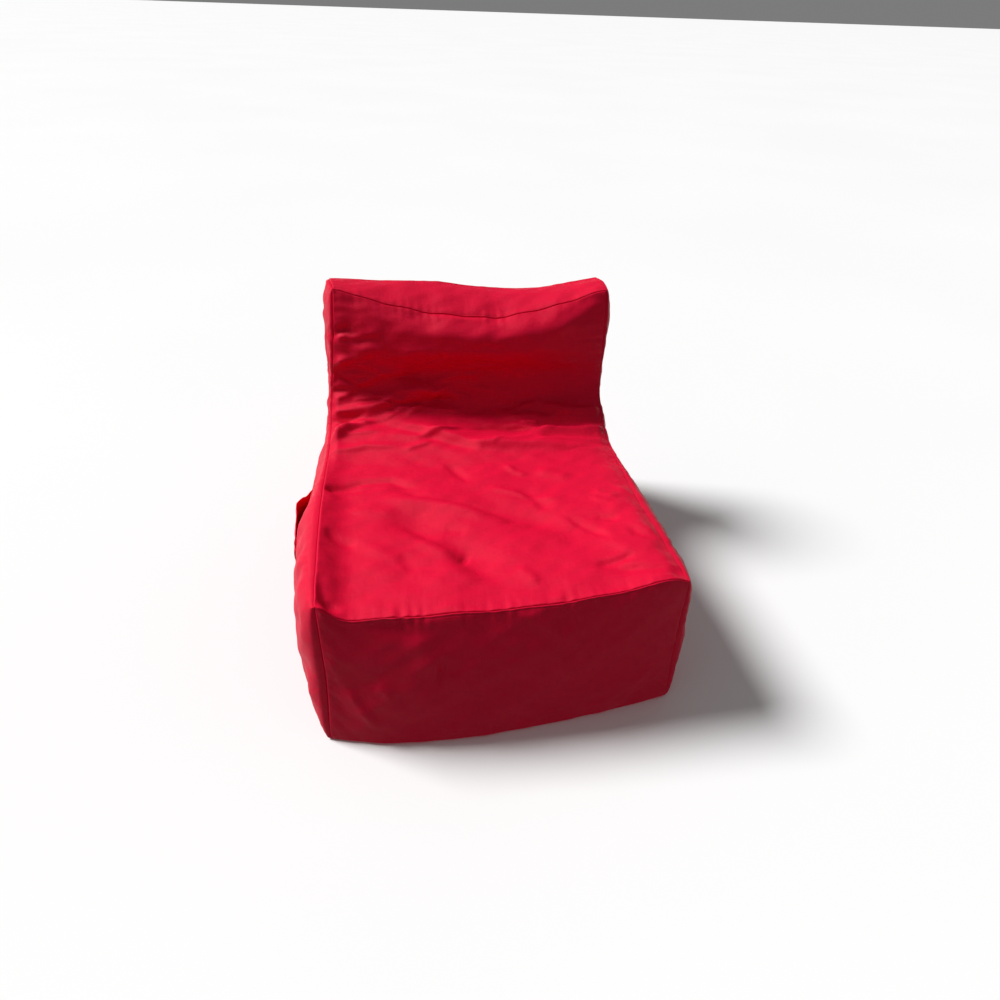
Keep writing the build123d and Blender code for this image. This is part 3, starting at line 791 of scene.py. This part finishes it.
def band_panel(name, first, last, first_edge, last_edge, step=1):
    """A panel between two rows of the ring. Each edge is "seam", "stitched" or "hem"."""
    cell = float(np.median(np.linalg.norm(RING[(first + 1) % N_RING] - RING[first], axis=1)))
    ring, normals = (np.concatenate([grid, grid[:1]]) for grid in (RING, RING_N))
    run = np.concatenate([RUN, RUN[-1:] + cell])
    rows = stations(first, last, cell, first_edge != "hem", last_edge != "hem", step)
    columns = stations(0, N_WIDE, 2 * HALF_SEAM / N_WIDE, step=step)
    points, outward = at_places(ring, rows, columns), unit(at_places(normals, rows, columns))
    flat = at_places(np.stack([ring[:, :, 0], run], axis=-1), rows, columns)
    off_first = ((rows - first) * cell)[:, None] + np.zeros(len(columns))
    off_last = ((last - rows) * cell)[:, None] + np.zeros(len(columns))
    off_side = np.minimum(columns, N_WIDE - columns) * (2 * HALF_SEAM / N_WIDE)
    depth = turned_in(off_side[None, :] + np.zeros((len(rows), 1)), False)
    for off, kind in ((off_first, first_edge), (off_last, last_edge)):
        if kind != "hem":
            depth = np.maximum(depth, turned_in(off, kind == "stitched"))
    points = points - outward * depth[..., None]
    for kind, row in ((first_edge, STITCH_ROW), (last_edge, -1 - STITCH_ROW)):
        if kind == "stitched":
            STITCHES.append((points[row, 6:-6], outward[row, 6:-6]))
    faces = cells_of(len(rows), len(columns))
    return cloth_shell(name, points.reshape(-1, 3), faces, flat.reshape(-1, 2))


def side_cloth(name, hand):
    """A side panel, over its whole grid of places."""
    rows = np.concatenate([stations(0, N_SEAT, CELL_SEAT), stations(N_SEAT, I_LAST, CELL_SEAT)[1:]])
    columns = np.concatenate([stations(0, N_LOW, CELL_LOW), stations(N_LOW, J_LAST, CELL_LOW)[1:]])
    points = at_places(SIDES[hand], rows, columns)
    outward = unit(at_places(SIDE_N[hand], rows, columns))
    depth = turned_in(seam_distance(rows, columns), False)
    flat = points[:, :, 1:].reshape(-1, 2)
    points = points - outward * depth[..., None]
    inside = (columns[None, :] <= N_LOW) | (rows[:, None] >= N_SEAT)
    keep = inside[:-1, :-1] & inside[1:, :-1] & inside[:-1, 1:] & inside[1:, 1:]
    faces = cells_of(len(rows), len(columns), keep)
    return cloth_shell(name, points.reshape(-1, 3), faces[:, ::-1] if hand > 0 else faces, flat)


# ------------------------------------------------------------------ materials
class Finish:
    """A procedural material, built node by node."""

    def __init__(self, name, rough, sheen=0.0, metal=0.0, specular=0.35):
        self.material = bpy.data.materials.new(name)
        self.material.use_nodes = True
        self.tree = self.material.node_tree
        self.shader = self.tree.nodes["Principled BSDF"]
        self.shader.inputs["Roughness"].default_value = rough
        self.shader.inputs["Metallic"].default_value = metal
        self.shader.inputs["Specular IOR Level"].default_value = specular
        self.shader.inputs["Sheen Weight"].default_value = sheen
        self.shader.inputs["Sheen Roughness"].default_value = 0.45
        self.places = None

    def node(self, kind, inputs=(), **settings):
        node = self.tree.nodes.new(kind)
        for key, value in settings.items():
            setattr(node, key, value)
        for key, value in dict(inputs).items():
            self.feed(node.inputs[key], value)
        return node

    def feed(self, socket, value):
        if isinstance(value, bpy.types.NodeSocket):
            self.tree.links.new(value, socket)
        else:
            socket.default_value = value

    def sum(self, operation, a, b=0.0):
        return self.node("ShaderNodeMath", {0: a, 1: b}, operation=operation).outputs[0]

    def on(self, coordinates):
        """Use the cloth's own flat map ("UV") or the piece's own space ("Object")."""
        self.places = self.node("ShaderNodeTexCoord").outputs[coordinates]
        return self.node("ShaderNodeSeparateXYZ", {0: self.places}).outputs

    def noise(self, scale, detail=3.0, stretch=(1, 1, 1)):
        stretched = self.node("ShaderNodeMapping", {"Vector": self.places, "Scale": stretch}).outputs[0]
        settings = {"Vector": stretched, "Scale": scale, "Detail": detail}
        return self.node("ShaderNodeTexNoise", settings).outputs["Fac"]

    def ramp(self, value, stops):
        node = self.node("ShaderNodeValToRGB", {"Fac": value})
        elements = node.color_ramp.elements
        while len(elements) < len(stops):
            elements.new(0.5)
        for element, (place, colour) in zip(elements, stops):
            element.position = place
            element.color = (*colour, 1)
        return node.outputs["Color"]

    def colour(self, value):
        self.feed(self.shader.inputs["Base Color"], value)

    def bump(self, height, distance, strength=1.0, under=None):
        settings = {"Height": height, "Distance": distance, "Strength": strength}
        if under is not None:
            settings["Normal"] = under
        normal = self.node("ShaderNodeBump", settings).outputs[0]
        self.feed(self.shader.inputs["Normal"], normal)
        return normal


def shade(colour, by):
    return tuple(min(1.0, part * by) for part in colour)


def woven(name, colour, pitch, rough=0.55, sheen=0.0, coordinates="UV", specular=0.35):
    """Plain-woven cloth: crossed threads, slubs, uneven dye and a fine crinkle."""
    finish = Finish(name, rough, sheen, specular=specular)
    u, v = finish.on(coordinates)[:2] if coordinates == "UV" else (finish.on(coordinates)[k] for k in (0, 2))
    turns = 2 * math.pi / pitch
    threads = finish.sum(
        "MULTIPLY",
        finish.sum("SINE", finish.sum("MULTIPLY", u, turns)),
        finish.sum("SINE", finish.sum("MULTIPLY", v, turns)),
    )
    slant = finish.sum("ADD", finish.sum("MULTIPLY", u, 1.9), v)
    lines = finish.sum("SINE", finish.sum("MULTIPLY", slant, turns / 3.4))
    warp, weft = finish.noise(420, 2, (1, 0.06, 1)), finish.noise(420, 2, (0.06, 1, 1))
    dye, crinkle = finish.noise(7, 4), finish.noise(95, 5)
    slubs = finish.sum("ADD", finish.sum("MULTIPLY", warp, 0.5), finish.sum("MULTIPLY", weft, 0.5))
    mixed = finish.sum("ADD", finish.sum("MULTIPLY", slubs, 0.80), finish.sum("MULTIPLY", dye, 0.20))
    mixed = finish.sum("ADD", mixed, finish.sum("MULTIPLY", threads, 0.08))
    mixed = finish.sum("ADD", mixed, finish.sum("MULTIPLY", lines, 0.07))
    stops = [(0.30, shade(colour, 0.86)), (0.50, colour), (0.70, shade(colour, 1.10))]
    finish.colour(finish.ramp(mixed, stops))
    first = finish.bump(threads, 0.00012)
    second = finish.bump(slubs, 0.0004, 0.8, first)
    finish.bump(crinkle, 0.0012, 0.55, second)
    return finish.material


def webbing(name, colour):
    """Heavy woven strap: rows of chevrons across it."""
    finish = Finish(name, 0.6, 0.2)
    u, v = finish.on("UV")[:2]
    slant = finish.sum("ABSOLUTE", finish.sum("SUBTRACT", finish.sum("MODULO", v, 0.006), 0.003))
    ribs = finish.sum("SINE", finish.sum("MULTIPLY", finish.sum("ADD", u, slant), 2 * math.pi / 0.0022))
    uneven = finish.noise(300, 3)
    stops = [(0.2, shade(colour, 0.7)), (0.55, colour), (0.9, shade(colour, 1.2))]
    mixed = finish.sum("ADD", finish.sum("MULTIPLY", ribs, 0.18), uneven)
    finish.colour(finish.ramp(mixed, stops))
    first = finish.bump(ribs, 0.0003)
    finish.bump(uneven, 0.0003, 0.6, first)
    return finish.material


def moulded(name, colour, rough, metal=0.0):
    """Nylon or plated metal: fine mottling, worn lighter in patches, with a grain in its shine."""
    finish = Finish(name, rough, metal=metal, specular=0.5)
    finish.on("Object")
    mottle, wear = finish.noise(900, 4), finish.noise(140, 3)
    mixed = finish.sum("ADD", finish.sum("MULTIPLY", mottle, 0.5), finish.sum("MULTIPLY", wear, 0.5))
    finish.colour(finish.ramp(mixed, [(0.35, shade(colour, 0.8)), (0.65, shade(colour, 1.15))]))
    shine = finish.node("ShaderNodeMapRange", {"Value": wear, "To Min": rough - 0.08, "To Max": rough + 0.12})
    finish.feed(finish.shader.inputs["Roughness"], shine.outputs[0])
    finish.bump(mottle, 0.00008, 0.6)
    return finish.material


def beads(name):
    """Expanded bead filling: rounded white cells."""
    finish = Finish(name, 0.7)
    finish.on("Object")
    cells = finish.node("ShaderNodeTexVoronoi", {"Vector": finish.places, "Scale": 260.0}).outputs["Distance"]
    # The colour greys from each cell's middle to its edge: painted shade round each bead and in the gaps
    # between beads.
    finish.colour(finish.ramp(cells, [(0.0, (0.93, 0.93, 0.92)), (0.8, (0.72, 0.72, 0.71))]))
    finish.bump(finish.sum("MULTIPLY", cells, -1.0), 0.002)
    return finish.material


RED = (0.75, 0.004, 0.040)
red_cloth = woven("red_cover", RED, 0.0016, rough=0.46, specular=0.09)
lining = woven("liner", (0.78, 0.77, 0.75), 0.0012, rough=0.75)
tape_cloth = woven("zip_tape", (0.50, 0.002, 0.020), 0.0012, rough=0.6, coordinates="Object")
liner_tape = woven("liner_zip_tape", (0.72, 0.71, 0.69), 0.0012, rough=0.7, coordinates="Object")
label_satin = woven("label", (0.82, 0.81, 0.78), 0.0009, rough=0.42, sheen=0.1)
strap_cloth = webbing("webbing", (0.60, 0.002, 0.024))
# Red thread drawn darker than the cloth: the darkness is painted shade of stitches sunk in their groove.
thread = woven("thread", (0.34, 0.001, 0.012), 0.0006, rough=0.6, coordinates="Object")
coil_nylon = moulded("zip_coil", (0.42, 0.003, 0.018), 0.35)
liner_nylon = moulded("liner_zip_coil", (0.66, 0.65, 0.62), 0.4)
slider_metal = moulded("zip_metal", (0.50, 0.49, 0.48), 0.34, metal=1.0)
liner_metal = moulded("liner_zip_metal", (0.55, 0.54, 0.52), 0.38, metal=1.0)
bead_foam = beads("beads")


def finished(piece, material, body="bag", replaces=()):
    """Give a piece its material, the body it rides on and the CAD nodes it stands for."""
    piece.data.materials.append(material)
    if body is not None:
        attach(piece, body)
    if replaces:
        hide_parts(*replaces)
    return piece


def repaint(material, slot, *nodes):
    """Give CAD nodes whose shapes are right a better material."""
    for name in nodes:
        node = bpy.data.objects[name]
        for place in node.material_slots:
            place.link = "OBJECT"
            place.material = material
        if not node.material_slots:
            node.data.materials.append(material)


# ------------------------------------------------------------------ the cover
def make_cover():
    panels = [
        ("front_panel", 0, ROW_FT, "seam", "stitched", 1),
        ("seat_and_back_panel", ROW_FT, ROW_BT, "seam", "seam", 1),
        ("top_band_panel", ROW_BT, ROW_RT, "stitched", "stitched", 1),
        ("rear_panel_upper", ROW_RT, ROW_SLOT_HIGH, "seam", "hem", 1),
        ("rear_panel_lower", ROW_SLOT_LOW, ROW_RB, "hem", "seam", 1),
        ("base_panel", ROW_RB, N_RING, "seam", "seam", 2),
    ]
    for name, first, last, first_edge, last_edge, step in panels:
        piece = band_panel("cover_" + name, first, last, first_edge, last_edge, step)
        finished(piece, red_cloth, replaces=[name])
    for hand, name in ((-1, "side_panel_right"), (1, "side_panel_left")):
        finished(side_cloth("cover_" + name, hand), red_cloth, replaces=[name])


# ------------------------------------------------------------------ liner and filling
INNER_STEP = 2  # the bodies inside the cover have every second place of the grids


def inner_body(name, by, material, node, thick=None):
    """A body that lies by inside the cover: a cloth bag open at its zip, or solid with a trench there."""
    ring, x = RING - RING_N * by, RING[:, :, 0]
    sides = {hand: SIDES[hand] - SIDE_N[hand] * by for hand in SIDES}
    numbers, faces, count = welded(INNER_STEP)
    if thick is None:
        y, z = RING[:, :, 1], RING[:, :, 2]
        ring[(np.abs(x) < 0.27) & (z > 0.055) & (z < 0.096) & (y > 0.43)] -= [0, 0.006, 0]
    else:
        rows = np.arange(ROW_SLOT_HIGH, ROW_SLOT_LOW, INNER_STEP) // INNER_STEP
        across = x[0, ::INNER_STEP]
        mouth = np.zeros(faces[0].shape[:2], bool)
        mouth[np.ix_(rows, np.flatnonzero(np.abs(across[:-1] + across[1:]) < 0.50))] = True
        faces[0] = faces[0][~mouth]
    faces = np.concatenate([part.reshape(-1, 4) for part in faces.values()])
    points = gathered(numbers, count, ring, sides, INNER_STEP)
    flat_sides = {hand: side[..., 1:] for hand, side in sides.items()}
    flat = gathered(numbers, count, np.stack([x, RUN], axis=-1), flat_sides, INNER_STEP)
    if thick is None:
        piece = make_piece(name, points, faces, flat)
    else:
        piece = cloth_shell(name, points, faces, flat, thick)
    finished(piece, material, replaces=[node])


# ------------------------------------------------------------------ side pocket
def side_place(y, z):
    """Fractional place (i, j) on the right side's grid at about a Y and a height."""
    side = SIDES[-1]
    i = np.interp(y, side[: N_SEAT + 1, 36, 1], np.arange(N_SEAT + 1))
    return i, np.interp(z, side[100, : N_LOW + 1, 2], np.arange(N_LOW + 1))


def pocket_grid(z_low, z_high, count):
    """Points, outward normals and the tent shape of the pocket between two heights."""
    (_, y0, z0), (_, y1, _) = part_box("side_pocket_front")
    z1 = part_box("side_pocket_hem")[1][2]
    (i0, j0), (i1, j1) = side_place(y0, z_low), side_place(y1, z_high)
    rows, columns = np.linspace(i0, i1, 75), np.linspace(j0, j1, count)
    points = at_places(SIDES[-1], rows, columns)
    outward = unit(at_places(SIDE_N[-1], rows, columns))
    share = np.linspace(0, 1, 75)[:, None]
    tip = (0.002 - y0) / (y1 - y0)
    tent = np.where(share < tip, share / tip, (1 - share) / (1 - tip)) ** 1.2
    height = np.clip((points[:, :, 2] - z0) / (z1 - z0), 0, 1)
    return points, outward, tent * height**2.0


def pocket_sheet(name, z_low, z_high, count, lift, gape, thick, node):
    points, outward, tent = pocket_grid(z_low, z_high, count)
    ripple = 0.0010 * waves(81, 7, 0.06, points[:, :, 1:]) * smooth_step(tent / 0.2)
    points = points + outward * (lift + gape * tent + ripple)[..., None]
    faces = cells_of(*points.shape[:2])
    flat = points[:, :, 1:].reshape(-1, 2)
    piece = cloth_shell(name, points.reshape(-1, 3), faces, flat, thick)
    finished(piece, red_cloth, replaces=[node])
    return points, outward


def make_pocket():
    low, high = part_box("side_pocket_front"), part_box("side_pocket_hem")
    z0, z_hem, z1 = low[0][2], high[0][2], high[1][2]
    margin = 0.010
    (_, y0, _), (_, y1, _) = low
    (i0, j0), (i1, j1) = side_place(y0 - margin, z0 - margin), side_place(y1 + margin, z1 + margin)
    rows, columns = np.linspace(i0, i1, 70), np.linspace(j0, j1, 50)
    points = at_places(SIDES[-1], rows, columns) + 0.0011 * unit(at_places(SIDE_N[-1], rows, columns))
    backing = cloth_shell(
        "pocket_backing", points.reshape(-1, 3), cells_of(70, 50), points[:, :, 1:].reshape(-1, 2), 0.0008
    )
    finished(backing, red_cloth, replaces=["side_pocket_backing"])
    gape = 0.024
    front, outward = pocket_sheet("pocket_front", z0, z_hem, 46, 0.0022, gape, 0.0009, "side_pocket_front")
    pocket_sheet("pocket_hem", z_hem, z1, 9, 0.0027, gape, 0.0018, "side_pocket_hem")
    for row in (2, -3):
        STITCHES.append((front[row, 2:], outward[row, 2:]))
    STITCHES.append((front[2:-2, 1], outward[2:-2, 1]))
    STITCHES.append((front[1:-1, -2], outward[1:-1, -2]))


# ------------------------------------------------------------------ label on the rear
def make_label():
    low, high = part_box("care_label")
    rear_rows = np.arange(ROW_RC, ROW_SLOT_HIGH)
    rows = np.interp([-high[2], -low[2]], -RING[rear_rows, 20, 2], rear_rows)
    columns = np.interp([low[0], high[0]], RING[ROW_RC + 20, :, 0], np.arange(N_WIDE + 1))
    rows, columns = np.linspace(*rows, 22), np.linspace(*columns, 16)
    outward = unit(at_places(RING_N, rows, columns))
    points = at_places(RING, rows, columns) + outward * 0.0007
    flat = np.stack([points[:, :, 0], points[:, :, 2]], axis=-1).reshape(-1, 2)
    piece = cloth_shell("care_label_cloth", points.reshape(-1, 3), cells_of(22, 16), flat, 0.0005)
    finished(piece, label_satin, replaces=["care_label"])
    for line in ((1, slice(1, -1)), (-2, slice(1, -1)), (slice(1, -1), 1), (slice(1, -1), -2)):
        STITCHES.append((points[line], outward[line]))


# ------------------------------------------------------------------ handle
def swept(name, centre, wide, width, thick):
    """A strap along a line of points, its flat side across the wide directions given."""
    centre, wide = np.asarray(centre), unit(np.asarray(wide))
    way = unit(np.gradient(centre, axis=0))
    wide = unit(wide - (wide * way).sum(axis=1, keepdims=True) * way)
    face = np.cross(way, wide)
    w, h = width / 2, thick / 2
    cut = [(-w, -0.4 * h), (-w + h, -h), (-w / 3, -h), (w / 3, -h), (w - h, -h), (w, -0.4 * h)]
    cut += [(a * -1, b * -1) for a, b in cut]
    cut = np.array(cut)
    rings = centre[:, None] + wide[:, None] * cut[None, :, :1] + face[:, None] * cut[None, :, 1:]
    run = np.concatenate([[0], np.cumsum(np.linalg.norm(np.diff(centre, axis=0), axis=1))])
    flat = np.stack(np.broadcast_arrays(run[:, None], cut[None, :, 0]), axis=-1).reshape(-1, 2)
    return make_piece(name, rings.reshape(-1, 3), tube_faces(*rings.shape[:2]), flat)


def make_handle():
    """Two halves of a webbing loop that meet in its middle, each sewn under a patch at its end."""
    _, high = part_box("handle_loop")
    patch_low, patch_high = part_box("handle_anchor_left")
    down = unit(np.array([0, REAR_Y - TOP_REAR_Y, REAR_UPRIGHT - TOP_Z]))
    out = np.array([0, -down[2], down[1]])
    z = (patch_low[2] + patch_high[2]) / 2
    face = np.array([0, rear_y(z), z])
    near, far = high[0], patch_high[0]
    standoff, reach, droop = 0.009, 0.042, math.radians(78)
    loop_way = out * math.cos(droop) + down * math.sin(droop)
    for hand, name in ((-1, "right"), (1, "left")):
        quarter = np.linspace(0, math.pi / 2, 46)[1:]
        x = np.concatenate([np.linspace(far - 0.028, near, 14), near * np.cos(quarter)])
        rise = np.where(x > near, standoff * smooth_step((far - 0.028 - x) / (far - 0.028 - near)), standoff)
        hang = np.where(x < near, reach * np.sqrt(np.clip(1 - (x / near) ** 2, 0, 1)) ** 1.6, 0)
        centre = face + out * (0.0028 + rise)[:, None] + loop_way * hang[:, None]
        centre[:, 0] = hand * x
        twist = math.radians(58) * smooth_step((near - x) / 0.075)
        wide = down * np.cos(twist)[:, None] + out * np.sin(twist)[:, None]
        half = swept("handle_strap_" + name, centre, wide, 0.025, 0.0022)
        half.data.materials.append(strap_cloth)
        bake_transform(half)
        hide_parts("handle_loop")
        x = hand * np.linspace(near + 0.0155, far, 12)
        line = np.tile(face + out * 0.0012, (12, 1))
        line[:, 0] = x
        patch = swept("handle_patch_" + name, line, np.tile(down, (12, 1)), 0.040, 0.0022)
        finished(patch, strap_cloth, replaces=["handle_anchor_" + name])
        box_stitch(face + out * 0.0026, down, out, hand * (near + 0.019), hand * (far - 0.004))


def box_stitch(face, down, out, x0, x1):
    """The rows of stitches that hold a strap's end: a square with a cross in it."""
    tall = 0.016
    square = [(x0, -tall), (x1, -tall), (x1, tall), (x0, tall), (x0, -tall)]
    corners = [*square, (x1, tall), (x1, -tall), (x0, tall)]
    spots = [face + down * d + np.array([x, 0, 0]) for x, d in corners]
    for start, end in zip(spots[:-1], spots[1:]):
        line = start + (end - start) * np.linspace(0.03, 0.97, 12)[:, None]
        STITCHES.append((line, np.tile(out, (12, 1))))


# ------------------------------------------------------------------ zip
def coil(name, hand, node):
    """A spiral of nylon along the zip's tape, its turns leaning towards the other tape's."""
    low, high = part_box(node)
    pitch, wire = 0.0017, 0.00032
    turns = int((high[0] - low[0] - 2 * wire) / pitch)
    angle = np.linspace(0, 2 * math.pi * turns, turns * 8 + 1)
    x = low[0] + wire + (high[0] - low[0] - 2 * wire) * angle / angle[-1]
    middle_y, middle_z = (low[1] + high[1]) / 2, (low[2] + high[2]) / 2
    y = middle_y + (0.001 - wire) * np.cos(angle)
    z = middle_z + (0.001 - wire) * np.sin(angle) * hand
    centre = np.stack([x, y, z], axis=1)
    way = unit(np.gradient(centre, axis=0))
    first = unit(np.cross(way, [1.0, 0.2, 0.1]))
    second = np.cross(way, first)
    rings = circles(centre, first, second, wire, 5)
    piece = make_piece(name, rings.reshape(-1, 3), tube_faces(*rings.shape[:2]))
    finished(piece, coil_nylon, replaces=[node])


def make_zip():
    coil("zip_spiral_upper", 1, "zip_coil_upper")
    coil("zip_spiral_lower", -1, "zip_coil_lower")
    repaint(tape_cloth, "zip_tape", "zip_tape_upper", "zip_tape_lower")
    repaint(slider_metal, "zip_metal", "zip_slider", "zip_pull", "zip_end_stops")
    repaint(liner_tape, "liner_zip_tape", "liner_zip_tape_upper", "liner_zip_tape_lower")
    repaint(liner_nylon, "liner_zip_coil", "liner_zip_coil_upper", "liner_zip_coil_lower")
    repaint(liner_metal, "liner_zip_metal", "liner_zip_slider", "liner_zip_end_stops")
    x = np.linspace(-0.335, 0.335, 200)
    for z in (SLOT_LOW - 0.003, SLOT_HIGH + 0.003):
        line = np.stack([x, np.full(200, REAR_Y), np.full(200, z)], axis=1)
        STITCHES.append((line, np.tile([0.0, 1.0, 0.0], (200, 1))))


# ------------------------------------------------------------------ stitches
def make_stitches():
    """Every row of topstitching as separate stitches of thread."""
    length, gap, radius, around = 0.0034, 0.0012, 0.00038, 6
    points, faces = [], []
    for line, outward in STITCHES:
        steps = np.linalg.norm(np.diff(line, axis=0), axis=1)
        run = np.concatenate([[0], np.cumsum(steps)])
        starts = np.arange(gap, run[-1] - length, length + gap)
        for start in starts:
            at = start + length * np.array([0.0, 0.25, 0.75, 1.0])
            spots = np.stack([np.interp(at, run, line[:, k]) for k in range(3)], axis=1)
            up = unit(np.stack([np.interp(at, run, outward[:, k]) for k in range(3)], axis=1))
            spots = spots + up * np.array([-0.0003, 0.0002, 0.0002, -0.0003])[:, None]
            way = unit(np.tile(spots[-1] - spots[0], (4, 1)))
            across = unit(np.cross(way, up))
            size = radius * np.array([0.55, 1.0, 1.0, 0.55])[:, None, None]
            rings = circles(spots, across, up, size, around)
            first = len(points) * len(at) * around
            faces += [face[::-1] for face in tube_faces(len(at), around, first)]
            points.append(rings.reshape(-1, 3))
    finished(make_piece("topstitching", np.concatenate(points), faces, smooth=False), thread)


make_cover()
inner_body("liner_bag", 0.0105, lining, "inner_liner", 0.0008)
inner_body("bead_filling", 0.0122, bead_foam, "bead_fill")
make_pocket()
make_label()
make_handle()
make_zip()
make_stitches()


# ------------------------------------------------------------------ stage
def make_stage():
    reach = 90.0
    corners = [(-reach, -reach, 0), (reach, -reach, 0), (reach, reach, 0), (-reach, reach, 0)]
    floor = make_piece("floor", corners, [(0, 1, 2, 3)], smooth=False)
    floor.visible_diffuse = False
    paint = Finish("floor", 0.9)
    paint.on("Object")
    paint.colour(paint.ramp(paint.noise(0.5, 2), [(0.3, (0.88, 0.88, 0.88)), (0.7, (0.90, 0.90, 0.90))]))
    floor.data.materials.append(paint.material)
    world = bpy.data.worlds.new("studio")
    bpy.context.scene.world = world
    world.use_nodes = True
    world.node_tree.nodes["Background"].inputs["Color"].default_value = (1, 1, 1, 1)
    world.node_tree.nodes["Background"].inputs["Strength"].default_value = 0.20
    key = bpy.data.lights.new("key", "SUN")
    key.energy = 3.9
    key.angle = 0.36
    lamp = bpy.data.objects.new("key", key)
    bpy.context.collection.objects.link(lamp)
    lamp.rotation_euler = Vector((0.63, -0.25, -0.735)).to_track_quat("-Z", "Y").to_euler()


make_stage()
bpy.context.scene.view_settings.view_transform = "Standard"
